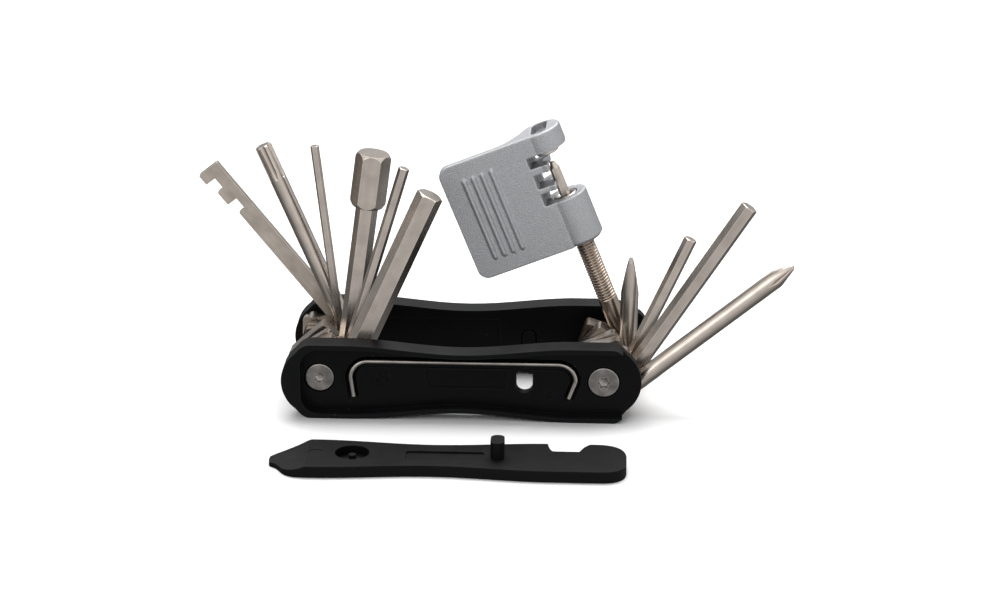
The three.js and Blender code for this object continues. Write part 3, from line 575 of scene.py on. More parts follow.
cross = stand(cross_bit(), "right", 39.6, 0.1, "cross_driver", "cross_driver")
print("cross driver faces:", len(cross.data.polygons))

# %% [markdown]
# The flat driver is the same bar squeezed to a blade.
# The two ground faces are curved, so the blade is a wedge outline
# with curved sides, kept only where it meets the round bar.

# %% Build the flat driver
def flat_bit(radius=2.3, length=27.1, offset=5.8, taper=9.0, tip=0.45):
    y = depth_of("flat_driver")
    profile = [(0, SHANK_ROOT), (radius, SHANK_ROOT), (radius, length), (0, length)]
    bar = lathe("bar", profile, 64, y, -offset)
    start = length - taper
    wedge = [(0, -offset - radius - 1), (start, -offset - radius)]
    wedge += bend(wedge[-1], (length - 2, -offset - 1.1), (length, -offset - tip), 12)[1:]
    wedge += bend((length, -offset + tip), (length - 2, -offset + 1.1), (start, -offset + radius), 12)
    wedge += [(0, -offset + radius + 1)]
    keep(bar, prism("wedge", wedge, y - 5, y + 5))
    return on_axle(add(base_plate("flat_bit", y - radius, y + radius), bar))

flat = stand(flat_bit(), "right", 88.7, 0.1, "flat_driver", "flat_driver")
print("flat driver faces:", len(flat.data.polygons))

# %% [markdown]
# The chain tool stands on a rod whose thread pushes the drive pin up through a chain.
# A thread is a helix, not a stack of rings. Each ring of vertices here is a little further along the
# same spiral,
# so the ridges climb round the rod as a rolled thread does.

# %% Build the threaded rod
CHAIN_ANGLE = 111.7
CHAIN_OFFSET = 5.8
ROD_RADIUS, ROD_END = 2.5, 42.3
THREAD_START, THREAD_DEPTH, THREAD_PITCH = 13.0, 0.34, 0.8
CHAIN_Y = (middle("chain_anvil").y - case_mid.y) / MM

def threaded(name, radius, depth, pitch, u0, u1, start, y, z, segments=40, per_turn=9):
    """A rod from start to u1 whose surface carries a helical thread from u0 on."""
    bm = bmesh.new()
    rings, u = [], u0
    stations = [start, u0 - 0.6]
    while u <= u1:
        stations.append(u)
        u += pitch / per_turn
    for s in stations + [u1 + 0.01]:
        ring = []
        fade = max(0.0, min(1.0, (s - u0) / 1.2, (u1 - s) / 0.9))
        for k in range(segments):
            a = 2 * math.pi * k / segments
            phase = (s / pitch - k / segments) % 1.0
            valley = 0.5 - 0.5 * math.cos(2 * math.pi * phase)
            r = radius - depth * fade * valley ** 1.4
            if s > u1 - 0.35:
                r = min(r, radius - 0.35)
            ring.append(bm.verts.new((s, y + r * math.cos(a), z + r * math.sin(a))))
        rings.append(ring)
    for a, b in zip(rings, rings[1:]):
        for k in range(segments):
            bm.faces.new((a[k], a[(k + 1) % segments], b[(k + 1) % segments], b[k]))
    bm.faces.new(rings[0])
    bm.faces.new(list(reversed(rings[-1])))
    return new_object(name, bm)

def chain_rod():
    rod = threaded("bar", ROD_RADIUS, THREAD_DEPTH, THREAD_PITCH, THREAD_START, ROD_END - 0.05,
                   SHANK_ROOT, CHAIN_Y, -CHAIN_OFFSET)
    body = add(base_plate("threaded_rod", CHAIN_Y - ROD_RADIUS, CHAIN_Y + ROD_RADIUS), rod)
    on_axle(body)
    socket = [(0, ROD_END - 4), (1.3, ROD_END - 4), (1.3, ROD_END + 1), (0, ROD_END + 1)]
    return cut(body, lathe("socket", socket, 32, CHAIN_Y, -CHAIN_OFFSET))

rod = stand(chain_rod(), "right", CHAIN_ANGLE, 0, "chain_tool_rod", "chain_tool_rod")
print("rod faces:", len(rod.data.polygons))

# %% [markdown]
# The drive pin is a hexagonal pin ground to a stepped point.
# It is a loose part that can be replaced when it bends.

# %% Build the drive pin
PIN_FLATS, PIN_TIP = 1.386 * math.sqrt(3), 53.2

def drive_pin():
    y, v = CHAIN_Y, -CHAIN_OFFSET
    head = ROD_END + 0.5
    pin = along_x("stepped_pin", [(q, p) for p, q in hexagon(PIN_FLATS)], head, 55, y, v)
    point = [(0, head - 0.2), (1.6, head - 0.2), (1.6, 50.9), (0.9, 52.2), (0.72, 53.0)]
    point += [(0.5, PIN_TIP), (0, PIN_TIP)]
    keep(pin, lathe("point", point, 48, y, v))
    return add(pin, lathe("stem", [(0, 38.6), (1.0, 38.6), (1.0, 44.0), (0, 44.0)], 32, y, v))

pin = stand(drive_pin(), "right", CHAIN_ANGLE, 0.06, "chain_tool_rod", "drive_pin")
print("pin faces:", len(pin.data.polygons))

# %% [markdown]
# Inside the casting a steel bush carries the thread, and a steel ring backs the chain.
# Both are turned parts.

# %% Build the bush and the anvil ring
bush_line = [(2.6, 32.3), (4.4, 32.3), (4.4, 43.0), (2.95, 43.0), (2.95, 43.75), (2.7, 43.95),
             (2.1, 43.8), (1.75, 43.45), (1.75, 43.2), (2.6, 42.6)]
bush = stand(lathe("thread_bush_ring", bush_line, 64, CHAIN_Y, -CHAIN_OFFSET), "right", CHAIN_ANGLE, 0,
             "thread_bush", "thread_bush")
anvil_line = [(1.1, 55.9), (2.75, 55.9), (3.0, 56.15), (3.0, 57.1), (1.8, 57.1), (1.8, 61.3),
              (1.1, 61.3)]
anvil = stand(lathe("anvil_ring", anvil_line, 56, CHAIN_Y, -CHAIN_OFFSET), "right", CHAIN_ANGLE, 0,
              "chain_tool_body", "chain_anvil")
print("bush and anvil:", bush.name, anvil.name)

# %% [markdown]
# The casting is the piece the eye goes to. It is a thin plate that swells into a round boss and a jaw,
# with four ribs for the fingers, two ridges that seat a chain and a bore right through.
# It is first cut out sharp, then remeshed in small cubes and smoothed,
# because a die casting has no sharp edge anywhere
# and even its inside corners are soft. A bevel could not round the corners where boss,
# plate and slots all meet.

# %% Build the casting
CAST_START, CAST_END, CAST_REACH = 30.8, 62.7, 28.0
BOSS_TOP, BOSS_RADIUS, JAW_START = 43.9, 5.6, 57.4
RIDGES = [(47.2, 48.7), (52.4, 54.4)]
PLATE_FRONT = (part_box("chain_tool_body")[0].y - case_mid.y) / MM + 0.35
RIBS = [22.2 - 2.5 * i for i in range(4)]

def cast_section():
    """The plate's flat front runs into the round boss by a curve that is tangent to both."""
    front = PLATE_FRONT - CHAIN_Y
    back = front + 2.3
    steep = math.radians(65)
    tip = (-BOSS_RADIUS * math.cos(steep), -BOSS_RADIUS * math.sin(steep))
    run = (front - tip[1]) / math.cos(steep)
    elbow = (tip[0] - run * math.sin(steep), front)
    line = [(elbow[0] - 4.4, front)] + bend((elbow[0] - 4.4, front), elbow, tip, 14)[1:]
    line += [(0, 0), (-3.4, 4.4)]
    line += bend((-3.4, 4.4), (-7.4, back + 0.6), (-11.5, back), 12)[1:]
    return line + [(-CAST_REACH, back), (-CAST_REACH, front)]

def cast_outline():
    r, seat = 2.8, 5.25
    line = [(CAST_START, -7), (CAST_START, CAST_REACH - r)]
    line += arc(CAST_START + r, CAST_REACH - r, r, 180, 90, 8)
    line += arc(CAST_END - r, CAST_REACH - r, r, 90, 0, 8)
    line += [(CAST_END, -5.4), (JAW_START, -5.4), (JAW_START, seat)]
    for start, end in reversed(RIDGES):
        line += [(end, seat), (end, 0.6), (start, 0.6), (start, seat)]
    return line + [(BOSS_TOP, seat), (BOSS_TOP, -7)]

def casting():
    v = -CHAIN_OFFSET
    section = [(q, -p) for p, q in cast_section()]
    body = along_x("casting", section, CAST_START, CAST_END, CHAIN_Y, v)
    boss = [(0, CAST_START), (4.8, CAST_START), (BOSS_RADIUS, CAST_START + 0.8)]
    boss += [(BOSS_RADIUS, CAST_END - 0.3), (5.3, CAST_END), (0, CAST_END)]
    add(body, lathe("boss", boss, 72, CHAIN_Y, v))
    side = prism("side", cast_outline(), CHAIN_Y - 8, CHAIN_Y + 8)
    keep(body, shift(side, z=v))
    # A web behind the slots carries the jaw and leaves the chain's own space open.
    web = [(43, v + 3.9), (58, v + 3.9), (58, v + 6.5), (43, v + 6.5)]
    add(body, prism("web", web, CHAIN_Y + 0.7, CHAIN_Y + 2.9))
    rib = [(0, 35.2), (0.38, 35.3), (0.62, 35.8), (0.62, 57.5), (0.38, 58.0), (0, 58.1)]
    for w in RIBS:
        add(body, lathe("rib", rib, 24, PLATE_FRONT, v + w))
    bore = [(0, 29), (3.0, 29), (3.0, 32.0), (4.7, 32.0), (4.7, 43.2), (3.15, 43.2),
            (3.15, BOSS_TOP + 1), (0, BOSS_TOP + 1)]
    cut(body, lathe("bore", bore, 56, CHAIN_Y, v))
    through = [(0, BOSS_TOP - 1), (2.05, BOSS_TOP - 1), (2.05, 64), (0, 64)]
    cut(body, lathe("through", through, 48, CHAIN_Y, v))
    return body

def oblong_pocket():
    """The oblong recess in the top of the jaw, long across the case."""
    section = [(q, p) for p, q in rounded_rect(-2.1, 2.1, -4.2, 5.0, 2.0)]
    return along_x("pocket", section, CAST_END - 2.2, CAST_END + 1.0, CHAIN_Y, -CHAIN_OFFSET)

cast = cut(casting(), oblong_pocket())

def soften(obj, voxel, rounds):
    mod = obj.modifiers.new("skin", "REMESH")
    mod.mode, mod.voxel_size, mod.adaptivity = "VOXEL", voxel, 0.0
    mod = obj.modifiers.new("soft", "SMOOTH")
    mod.factor, mod.iterations = 0.5, rounds
    return bake(obj)

soften(cast, 0.18, 5)
stand(cast, "right", CHAIN_ANGLE, 0, "chain_tool_body", "chain_tool_body")
cast.modifiers.clear()
cast.data.set_sharp_from_angle(angle=math.radians(180))
print("casting faces:", len(cast.data.polygons))

# %% [markdown]
# A tyre lever is a flat nylon bar that fills its pocket in the case. It narrows to a scooped tip,
# has a spoke notch near the other end and a peg that clips through the case.
# Its edges follow the same waist as the case, so the outline calls the same function.

# %% Build a tyre lever
FIT = 0.4
LEVER_THICK = 3.0
LEVER_LEFT = -HALF - 4.65 + FIT
LEVER_LONG = HALF + 11.4 - LEVER_LEFT

def lever_outline():
    low, high = RIM + FIT, CASE_HIGH - RIM - FIT
    left, right, mid = LEVER_LEFT, LEVER_LEFT + LEVER_LONG, AXLE_HIGH
    line = list(reversed(bend((left + 0.5, mid - 1.8), (left, mid), (left + 0.5, mid + 1.9), 6)))
    line += [(left + 1.6, mid - 3.0)]
    line += bend((left + 2.6, mid - 3.8), (left + 4.6, mid - 5.6), (left + 9, low), 8)
    line += long_edge(-REACH, right - 21, low, False)
    notch = right - 19.6
    line += bend((notch, low + dip(notch)), (right - 18.9, low + 4.4), (right - 18.0, low + 4.6), 5)
    line += [(right - 12.0, low + 4.6)]
    line += bend((right - 11.6, low + 4.5), (right - 10.6, low + 1.2), (right - 9, low), 6)
    line += bend((right - 7.5, low), (right, low), (right, low + 8), 16)
    line += bend((right, high - 6), (right, high), (right - 6.5, high), 14)
    line += long_edge(REACH, -REACH, low, True)
    line += bend((left + 9, high), (left + 4.8, high), (left + 3.4, mid + 5.0), 8)
    line += [(left + 2.2, mid + 3.2)]
    return line

def lever(name, peg_high):
    inner = -FLOOR - FIT
    outer = inner - LEVER_THICK
    left = LEVER_LEFT
    body = prism(name, lever_outline(), outer, inner)
    scoop = [(left - 1, inner + 1), (left - 1, outer + 1.1)]
    scoop += bend((left, outer + 1.15), (left + 6, outer + 1.4), (left + 10, inner), 12)[1:]
    scoop += [(left + 10, inner + 1)]
    cut(body, span("scoop", [(x, y, -5) for x, y in scoop], [(x, y, 25) for x, y in scoop]))
    well_x, well_z = left + 20.8, AXLE_HIGH - 0.8
    cut(body, round_bar("well", 4.3, inner - 2.4, inner + 1, well_x, well_z, 56))
    add(body, round_bar("post", 0.9, inner - 2.6, inner - 0.5, well_x, well_z, 32))
    cut(body, round_bar("mark", 2.0, inner - 0.16, inner + 1, left + 11.8, AXLE_HIGH - 0.4, 40))
    panel = rounded_rect(left + 34, left + 53.4, AXLE_HIGH - 2.4, AXLE_HIGH + 3.4, 0.8)
    cut(body, prism("panel", panel, inner - 0.5, inner + 1))
    peg = rounded_rect(PEG_X - 1.7, PEG_X + 1.7, AXLE_HIGH - 2.7, AXLE_HIGH + 2.7, 1.5)
    return add(body, prism("peg", peg, inner - 0.5, inner + peg_high))

rear_lever = turn(lever("lever_rear", 2.7), 180, "X", (0, 0, AXLE_HIGH))
place(rear_lever, case_mid, edge=0.38, segments=3, body="rear_tyre_lever",
      replaces=["rear_tyre_lever"])

loose = lever("lever_loose", 4.6)
shift(loose, y=FLOOR + FIT + LEVER_THICK, z=-AXLE_HIGH)
turn(loose, 90, "X")
loose_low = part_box("front_tyre_lever")[0]
xs, ys, zs = zip(*(v.co for v in loose.data.vertices))
lie = loose_low - Vector((min(xs) * MM, min(ys) * MM, min(zs) * MM))
place(loose, lie, edge=0.38, segments=3, body="front_tyre_lever",
      replaces=["front_tyre_lever"])
print("lever is %.1f mm long, %.1f mm high with its peg" % (max(xs) - min(xs), max(zs) - min(zs)))

# %% [markdown]
# The finishes share a few effects, so each effect is a node group: moulded or blasted grain,
# drawn lines, turned rings,
# worn edges and fine dust. A group gives out only heights and masks.
# Each material mixes them into its own colours, so one effect can look different on nylon and on steel.
# The groups read each point's place before its tool was turned.
# It is in metres, so a scale of 1000 is one cell in a millimetre.

# %% Helpers for building node groups
def new_group(name, inputs, outputs):
    group = bpy.data.node_groups.new(name, "ShaderNodeTree")
    for label, value in inputs:
        sock = group.interface.new_socket(label, in_out="INPUT", socket_type="NodeSocketFloat")
        sock.default_value = value
    for label in outputs:
        group.interface.new_socket(label, in_out="OUTPUT", socket_type="NodeSocketFloat")
    return group, group.nodes.new("NodeGroupInput"), group.nodes.new("NodeGroupOutput")

def node(tree, kind, links=(), **values):
    """Adds a node, sets its properties and sockets, and links (socket, source) pairs."""
    n = tree.nodes.new(kind)
    for key, value in values.items():
        if hasattr(n, key):
            setattr(n, key, value)
        else:
            n.inputs[key.replace("_", " ")].default_value = value
    for socket, source in links:
        tree.links.new(source, n.inputs[socket])
    return n

def maths(tree, how, a, b=None, clamp=False):
    n = tree.nodes.new("ShaderNodeMath")
    n.operation, n.use_clamp = how, clamp
    for i, value in enumerate((a, b)):
        if value is None:
            continue
        if isinstance(value, (int, float)):
            n.inputs[i].default_value = value
        else:
            tree.links.new(value, n.inputs[i])
    return n.outputs[0]

def rest_coords(tree):
    return node(tree, "ShaderNodeAttribute", attribute_name="rest_place").outputs["Vector"]

print("node helpers ready")

# %% Grain: the fine texture of a mould or a blasted surface
grain, g_in, g_out = new_group(
    "fine_grain", [("Scale", 5000.0), ("Patch Scale", 300.0)], ["Height", "Patches"])
coords = rest_coords(grain)
at_scale = [("Vector", coords), ("Scale", g_in.outputs["Scale"])]
fine = node(grain, "ShaderNodeTexNoise", at_scale, Detail=3.0, Roughness=0.6)
pits = node(grain, "ShaderNodeTexVoronoi", at_scale)
bumps = maths(grain, "MULTIPLY", fine.outputs[0], 0.7)
height = maths(grain, "ADD", bumps, maths(grain, "MULTIPLY", pits.outputs["Distance"], 0.35))
grain.links.new(height, g_out.inputs["Height"])
at_patch_scale = [("Vector", coords), ("Scale", g_in.outputs["Patch Scale"])]
patch = node(grain, "ShaderNodeTexNoise", at_patch_scale, Detail=4.0)
grain.links.new(patch.outputs[0], g_out.inputs["Patches"])

# %% Drawn lines: long scratches left along a bar by the drawing die
drawn, d_in, d_out = new_group(
    "drawn_lines", [("Scale", 1800.0), ("Stretch", 0.03)], ["Height", "Streaks"])
coords = rest_coords(drawn)
split = node(drawn, "ShaderNodeSeparateXYZ", [("Vector", coords)])
long_x = maths(drawn, "MULTIPLY", split.outputs["X"], d_in.outputs["Stretch"])
joined = node(drawn, "ShaderNodeCombineXYZ",
              [("X", long_x), ("Y", split.outputs["Y"]), ("Z", split.outputs["Z"])])
at_scale = [("Vector", joined.outputs[0]), ("Scale", d_in.outputs["Scale"])]
lines = node(drawn, "ShaderNodeTexNoise", at_scale, Detail=4.0, Roughness=0.65)
drawn.links.new(lines.outputs[0], d_out.inputs["Height"])
streak_scale = maths(drawn, "MULTIPLY", d_in.outputs["Scale"], 0.22)
at_streak_scale = [("Vector", joined.outputs[0]), ("Scale", streak_scale)]
streaks = node(drawn, "ShaderNodeTexNoise", at_streak_scale, Detail=2.0)
drawn.links.new(streaks.outputs[0], d_out.inputs["Streaks"])

# %% Turned rings: the circles a lathe leaves on a face
turned, t_in, t_out = new_group("turned_rings", [("Rings per Metre", 9000.0)], ["Height"])
coords = rest_coords(turned)
split = node(turned, "ShaderNodeSeparateXYZ", [("Vector", coords)])
flat_xz = node(turned, "ShaderNodeCombineXYZ", [("X", split.outputs["X"]), ("Z", split.outputs["Z"])])
off_axis = node(turned, "ShaderNodeVectorMath", [(0, flat_xz.outputs[0])], operation="LENGTH")
count = maths(turned, "MULTIPLY", off_axis.outputs["Value"], t_in.outputs["Rings per Metre"])
along = node(turned, "ShaderNodeCombineXYZ", [("X", count)])
rings = node(turned, "ShaderNodeTexNoise", [("Vector", along.outputs[0])], Scale=1.0, Detail=2.0)
turned.links.new(rings.outputs[0], t_out.inputs["Height"])

# %% Edge wear: bright where the smoothed surface direction leaves the real one
wear, w_in, w_out = new_group(
    "edge_wear", [("Radius", 0.0004), ("Gain", 9.0), ("Breakup Scale", 900.0)], ["Mask"])
geometry = wear.nodes.new("ShaderNodeNewGeometry")
soft = wear.nodes.new("ShaderNodeBevel")
soft.samples = 6
wear.links.new(w_in.outputs["Radius"], soft.inputs["Radius"])
same = node(wear, "ShaderNodeVectorMath", [(0, soft.outputs[0]), (1, geometry.outputs["Normal"])],
            operation="DOT_PRODUCT")
apart = maths(wear, "SUBTRACT", 1.0, same.outputs["Value"])
gained = maths(wear, "MULTIPLY", apart, w_in.outputs["Gain"], True)
at_chip_scale = [("Vector", rest_coords(wear)), ("Scale", w_in.outputs["Breakup Scale"])]
chips = node(wear, "ShaderNodeTexNoise", at_chip_scale, Detail=5.0)
chipped = maths(wear, "MULTIPLY", gained, maths(wear, "MULTIPLY", chips.outputs[0], 1.9, True), True)
wear.links.new(chipped, w_out.inputs["Mask"])

# %% Dust: small pale specks and a haze on faces that look up
dust, u_in, u_out = new_group("fine_dust", [("Speck Scale", 900.0), ("Amount", 0.5)], ["Specks", "Haze"])
coords = rest_coords(dust)
cells = node(dust, "ShaderNodeTexVoronoi", [("Vector", coords), ("Scale", u_in.outputs["Speck Scale"])])
near = maths(dust, "LESS_THAN", cells.outputs["Distance"], 0.09)
picked = node(dust, "ShaderNodeSeparateColor", [(0, cells.outputs["Color"])])
few = maths(dust, "GREATER_THAN", picked.outputs[0], 0.93)
specks = maths(dust, "MULTIPLY", maths(dust, "MULTIPLY", near, few), u_in.outputs["Amount"], True)
dust.links.new(specks, u_out.inputs["Specks"])
facing = dust.nodes.new("ShaderNodeNewGeometry").outputs["Normal"]
up = node(dust, "ShaderNodeSeparateXYZ", [("Vector", facing)]).outputs["Z"]
cloud = node(dust, "ShaderNodeTexNoise", [("Vector", coords)], Scale=260.0, Detail=5.0)
drift = maths(dust, "MULTIPLY", cloud.outputs[0], u_in.outputs["Amount"], True)
haze = maths(dust, "MULTIPLY", maths(dust, "MAXIMUM", up, 0.0), drift, True)
dust.links.new(haze, u_out.inputs["Haze"])
print("node groups:", [g.name for g in bpy.data.node_groups])

# %% [markdown]
# The case and levers are glass-filled nylon from a lightly textured mould.
# It is nearly black, has a broad soft sheen,
# and turns grey where hands rub its edges. Deep in the case's pocket the colour is darkened as painted
# shade.
# Colour, roughness and bump each get their own mix of the effects.

# %% Nylon materials
def start_material(name):
    mat = bpy.data.materials.new(name)
    mat.use_nodes = True
    tree = mat.node_tree
    return mat, tree, tree.nodes["Principled BSDF"]

def use(tree, group, **values):
    n = tree.nodes.new("ShaderNodeGroup")
    n.node_tree = group
    for key, value in values.items():
        n.inputs[key.replace("_", " ")].default_value = value
    return n

def blend_colour(tree, mask, a, b):
    n = tree.nodes.new("ShaderNodeMix")
    n.data_type = "RGBA"
    if isinstance(mask, (int, float)):
        n.inputs[0].default_value = mask
    else:
        tree.links.new(mask, n.inputs[0])
    for i, c in ((6, a), (7, b)):
        if isinstance(c, tuple):
            n.inputs[i].default_value = (*c, 1.0)
        else:
            tree.links.new(c, n.inputs[i])
    return n.outputs[2]

def spread(tree, value, low, high):
    """Stretches a 0 to 1 value to a range."""
    n = tree.nodes.new("ShaderNodeMapRange")
    tree.links.new(value, n.inputs["Value"])
    n.inputs["From Min"].default_value, n.inputs["From Max"].default_value = 0.3, 0.7
    n.inputs["To Min"].default_value, n.inputs["To Max"].default_value = low, high
    return n.outputs[0]

def painted_pocket_shade(tree, low, high):
    """Painted shade mask: 1 on the outer faces, 0 deep in the pocket, where the colour is darkened to
    stand in for shade.
    """
    deep = node(tree, "ShaderNodeSeparateXYZ", [("Vector", rest_coords(tree))]).outputs["Y"]
    return node(tree, "ShaderNodeMapRange", [("Value", maths(tree, "ABSOLUTE", deep))],
                From_Min=low * MM, From_Max=high * MM).outputs[0]

def scaled(colour, factor):
    return tuple(min(1.0, c * factor) for c in colour)

def part_of(tree, mask, share):
    """A mask turned down to a share of its strength."""
    return maths(tree, "MULTIPLY", mask, share)

DUST_HAZE, DUST_SPECK = (0.16, 0.16, 0.17), (0.35, 0.34, 0.33)

def nylon(name, base, worn, rough, grain_depth, reach=None):
    mat, tree, shader = start_material(name)
    g = use(tree, grain, Scale=4200.0, Patch_Scale=120.0)
    w = use(tree, wear, Radius=0.0005, Gain=5.0, Breakup_Scale=700.0)
    d = use(tree, dust, Speck_Scale=620.0, Amount=0.55)
    tone = blend_colour(tree, g.outputs["Patches"], scaled(base, 0.8), scaled(base, 1.25))
    if reach:
        # Painted shade: the case colour is darkened towards the pocket floor to stand in for the shade
        # there.
        tone = blend_colour(tree, painted_pocket_shade(tree, *reach), scaled(base, 0.45), tone)
    tone = blend_colour(tree, part_of(tree, w.outputs["Mask"], 0.5), tone, worn)
    tone = blend_colour(tree, part_of(tree, d.outputs["Haze"], 0.06), tone, DUST_HAZE)
    tone = blend_colour(tree, part_of(tree, d.outputs["Specks"], 0.35), tone, DUST_SPECK)
    tree.links.new(tone, shader.inputs["Base Color"])
    tree.links.new(spread(tree, g.outputs["Patches"], rough - 0.05, rough + 0.07),
                   shader.inputs["Roughness"])
    bump = node(tree, "ShaderNodeBump", [("Height", g.outputs["Height"])],
                Strength=0.35, Distance=grain_depth)
    tree.links.new(bump.outputs[0], shader.inputs["Normal"])
    shader.inputs["Specular IOR Level"].default_value = 0.07
    return mat

# The last pair is the depth range, in mm, over which the painted pocket shade fades out.
case_nylon = nylon("case_nylon", (0.0025, 0.0027, 0.0031), (0.018, 0.019, 0.021), 0.46, 0.00006,
                   (FLOOR, OUTER - 0.3))
lever_nylon = nylon("lever_nylon", (0.0017, 0.0018, 0.002), (0.016, 0.016, 0.017), 0.5, 0.00007)
print("nylon finishes:", case_nylon.name, lever_nylon.name)

# %% [markdown]
# The tools are steel under a thin nickel plate, which is a warm grey and slightly satin.
# The drawn lines of the bar show through the plate,
# the corners are polished by use and a faint tarnish varies the tone.

# %% Plated steel materials
def plated(name, base, dark, rough, line_depth=0.00002, stretch=0.03, marks=None, spots=0.25):
    mat, tree, shader = start_material(name)
    lines = use(tree, drawn, Scale=2600.0, Stretch=stretch)
    g = use(tree, grain, Scale=9000.0, Patch_Scale=260.0)
    w = use(tree, wear, Radius=0.0003, Gain=11.0, Breakup_Scale=1400.0)
    tone = blend_colour(tree, spread(tree, g.outputs["Patches"], 0.0, 1.0), base, dark)
    streaked = spread(tree, lines.outputs["Streaks"], 0.0, spots)
    tone = blend_colour(tree, streaked, tone, scaled(dark, 0.72))
    height = lines.outputs["Height"]
    if marks:
        height = use(tree, turned, Rings_per_Metre=marks).outputs["Height"]
        tone = blend_colour(tree, spread(tree, height, 0.0, 0.35), tone, scaled(dark, 0.6))
    tone = blend_colour(tree, part_of(tree, w.outputs["Mask"], 0.7), tone, scaled(base, 1.55))
    tree.links.new(tone, shader.inputs["Base Color"])
    along_lines = spread(tree, height, rough - 0.05, rough + 0.06)
    varied = maths(tree, "ADD", along_lines, part_of(tree, g.outputs["Patches"], 0.06))
    tree.links.new(varied, shader.inputs["Roughness"])
    shader.inputs["Metallic"].default_value = 1.0
    bump = node(tree, "ShaderNodeBump", [("Height", height)], Strength=0.22, Distance=line_depth)
    tree.links.new(bump.outputs[0], shader.inputs["Normal"])
    return mat

tool_steel = plated("tool_steel", (0.37, 0.33, 0.295), (0.29, 0.258, 0.23), 0.24)
spoke_steel = plated("spoke_steel", (0.37, 0.33, 0.29), (0.28, 0.245, 0.215), 0.36,
                     stretch=0.25, spots=0.45)
rod_steel = plated("rod_steel", (0.29, 0.24, 0.2), (0.16, 0.13, 0.105), 0.26)
fitting_steel = plated("fitting_steel", (0.42, 0.40, 0.375), (0.30, 0.285, 0.265), 0.34,
                       marks=9000.0)
screw_steel = plated("screw_steel", (0.30, 0.285, 0.27), (0.10, 0.095, 0.09), 0.36, 0.00004,
                     marks=7000.0)
pin_steel = plated("pin_steel", (0.44, 0.395, 0.35), (0.33, 0.295, 0.26), 0.3)
wire_steel = plated("wire_steel", (0.30, 0.28, 0.255), (0.2, 0.185, 0.17), 0.28, spots=0.3)
print("plated finishes made")

# %% [markdown]
# The casting is blasted and sprayed with a fine silver lacquer.
# Up close the lacquer sparkles and lies in soft pits,
# so it is a rough metal with a deep fine grain, with edges rubbed a little brighter.

# %% Silver lacquer
FLAKE_DARK, FLAKE_LIGHT = (0.25, 0.253, 0.262), (0.40, 0.404, 0.414)
PIT_GREY, RUBBED = (0.17, 0.175, 0.185), (0.62, 0.62, 0.63)

def silver():
    mat, tree, shader = start_material("cast_silver")
    g = use(tree, grain, Scale=3600.0, Patch_Scale=140.0)
    flakes = use(tree, grain, Scale=15000.0, Patch_Scale=9000.0)
    w = use(tree, wear, Radius=0.0006, Gain=7.0, Breakup_Scale=1200.0)
    glint = spread(tree, flakes.outputs["Patches"], 0.0, 1.0)
    tone = blend_colour(tree, glint, FLAKE_DARK, FLAKE_LIGHT)
    tone = blend_colour(tree, spread(tree, g.outputs["Height"], 0.6, 0.0), tone, PIT_GREY)
    tone = blend_colour(tree, part_of(tree, w.outputs["Mask"], 0.6), tone, RUBBED)
    tree.links.new(tone, shader.inputs["Base Color"])
    tree.links.new(spread(tree, flakes.outputs["Height"], 0.40, 0.56), shader.inputs["Roughness"])
    shader.inputs["Metallic"].default_value = 0.88
    coarse = node(tree, "ShaderNodeBump", [("Height", g.outputs["Height"])],
                  Strength=1.0, Distance=0.0002)
    tree.links.new(coarse.outputs[0], shader.inputs["Normal"])
    return mat

cast_silver = silver()

def dress(mat, *objs):
    for o in objs:
        o.data.materials.clear()
        o.data.materials.append(mat)

dress(case_nylon, front_half, rear_half)
dress(lever_nylon, rear_lever, loose)
dress(tool_steel, *keys, sleeve, lobed, cross, flat)
dress(spoke_steel, spoke)
dress(rod_steel, rod)
dress(pin_steel, pin)
dress(screw_steel, *axle_parts)
dress(fitting_steel, *spacers, bush, anvil)
dress(wire_steel, hook)
dress(cast_silver, cast)

# %% [markdown]
# The set is a white table under one large soft light from above and behind,
# and a weaker one from the left front.
# Bright metal only shows what is around it, so its mirrored rays see a room that is light above and
# dark below.
# That puts a pale face and a dark face on every bar, while the soft light on the table stays even.

# %% Table, lights and camera
def sheet(name, corners, mat):
    mesh = bpy.data.meshes.new(name)
    mesh.from_pydata(corners, [], [tuple(range(len(corners)))])
    remember_rest(mesh)
    obj = bpy.data.objects.new(name, mesh)
    bpy.context.scene.collection.objects.link(obj)
    mesh.materials.append(mat)
    return obj

table_white, tree, shader = start_material("table_white")
table_grain = use(tree, grain, Scale=900.0, Patch_Scale=8.0)
paint = blend_colour(tree, table_grain.outputs["Patches"], (0.90, 0.90, 0.90), (0.93, 0.93, 0.93))
tree.links.new(paint, shader.inputs["Base Color"])
shader.inputs["Roughness"].default_value = 0.75
shader.inputs["Specular IOR Level"].default_value = 0.2
table = sheet("table", [(-6, -6, 0), (6, -6, 0), (6, 8, 0), (-6, 8, 0)], table_white)

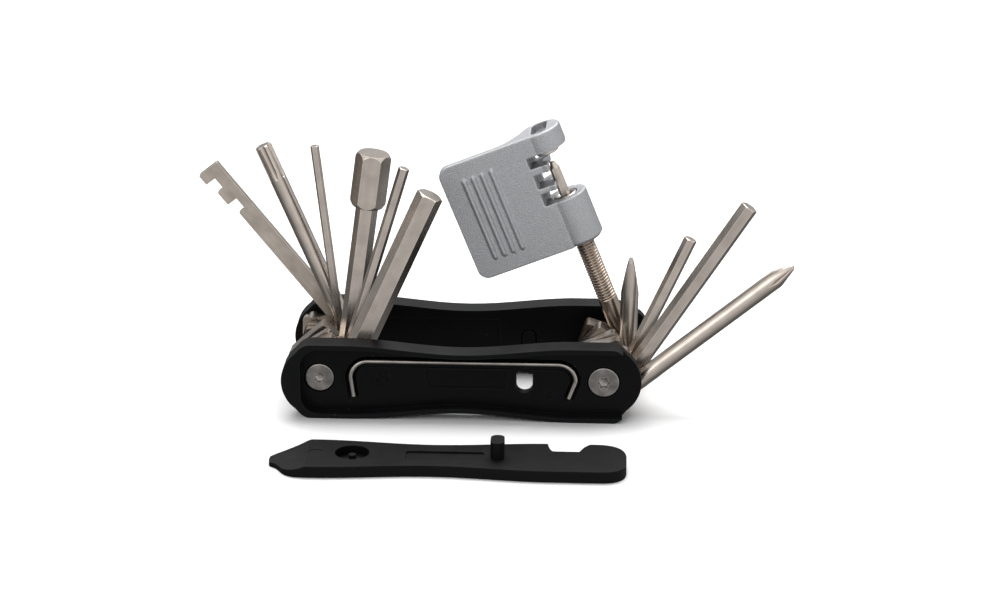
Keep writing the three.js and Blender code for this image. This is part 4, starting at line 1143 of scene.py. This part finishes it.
def soft_light(name, place_at, aim_at, wide, high, power):
    lamp = bpy.data.lights.new(name, "AREA")
    lamp.shape, lamp.size, lamp.size_y, lamp.energy = "RECTANGLE", wide, high, power
    obj = bpy.data.objects.new(name, lamp)
    obj.location = place_at
    obj.rotation_euler = (Vector(aim_at) - Vector(place_at)).to_track_quat("-Z", "Y").to_euler()
    bpy.context.scene.collection.objects.link(obj)
    return obj

soft_light("top", (-0.02, 0.34, 0.82), (0, 0, 0), 0.9, 0.6, 12)
soft_light("left_front", (-0.6, -0.65, 0.5), (0, 0, 0.03), 0.6, 0.6, 2.5)
table.visible_glossy = False

world = bpy.data.worlds.new("room")
bpy.context.scene.world = world
world.use_nodes = True
room = world.node_tree
around = node(room, "ShaderNodeTexCoord").outputs["Generated"]
toward = node(room, "ShaderNodeVectorMath", [(0, around)], operation="DOT_PRODUCT")
toward.inputs[1].default_value = Vector((0.22, -0.45, 0.87)).normalized()
wall = node(room, "ShaderNodeMapRange", [("Value", toward.outputs["Value"])],
            From_Min=-0.6, From_Max=0.6, To_Min=0.25, To_Max=1.9)
mirrored = node(room, "ShaderNodeLightPath").outputs["Is Glossy Ray"]
level = node(room, "ShaderNodeMix", [(0, mirrored), (3, wall.outputs[0])])
level.inputs[2].default_value = 0.42
room.links.new(level.outputs[0], room.nodes["Background"].inputs["Strength"])
room.nodes["Background"].inputs["Color"].default_value = (1, 1, 1, 1)

camera_data = bpy.data.cameras.new("camera")
camera_data.lens, camera_data.sensor_width = 102.6, 36
camera_data.clip_end = 20
camera = bpy.data.objects.new("camera", camera_data)
bpy.context.scene.collection.objects.link(camera)
AIM = case_mid + Vector((0.00985, -0.015, 0.0315))
PITCH, SWING, FAR = math.radians(20.6), math.radians(2.8), 0.72
OUTWARD = math.cos(PITCH)
toward_camera = Vector((math.sin(SWING) * OUTWARD, -math.cos(SWING) * OUTWARD, math.sin(PITCH)))
camera.location = AIM + FAR * toward_camera
camera.rotation_euler = (math.pi / 2 - PITCH, 0, SWING)
bpy.context.scene.camera = camera
bpy.context.scene.view_settings.view_transform = "Standard"
print("camera at", [round(c, 3) for c in camera.location])
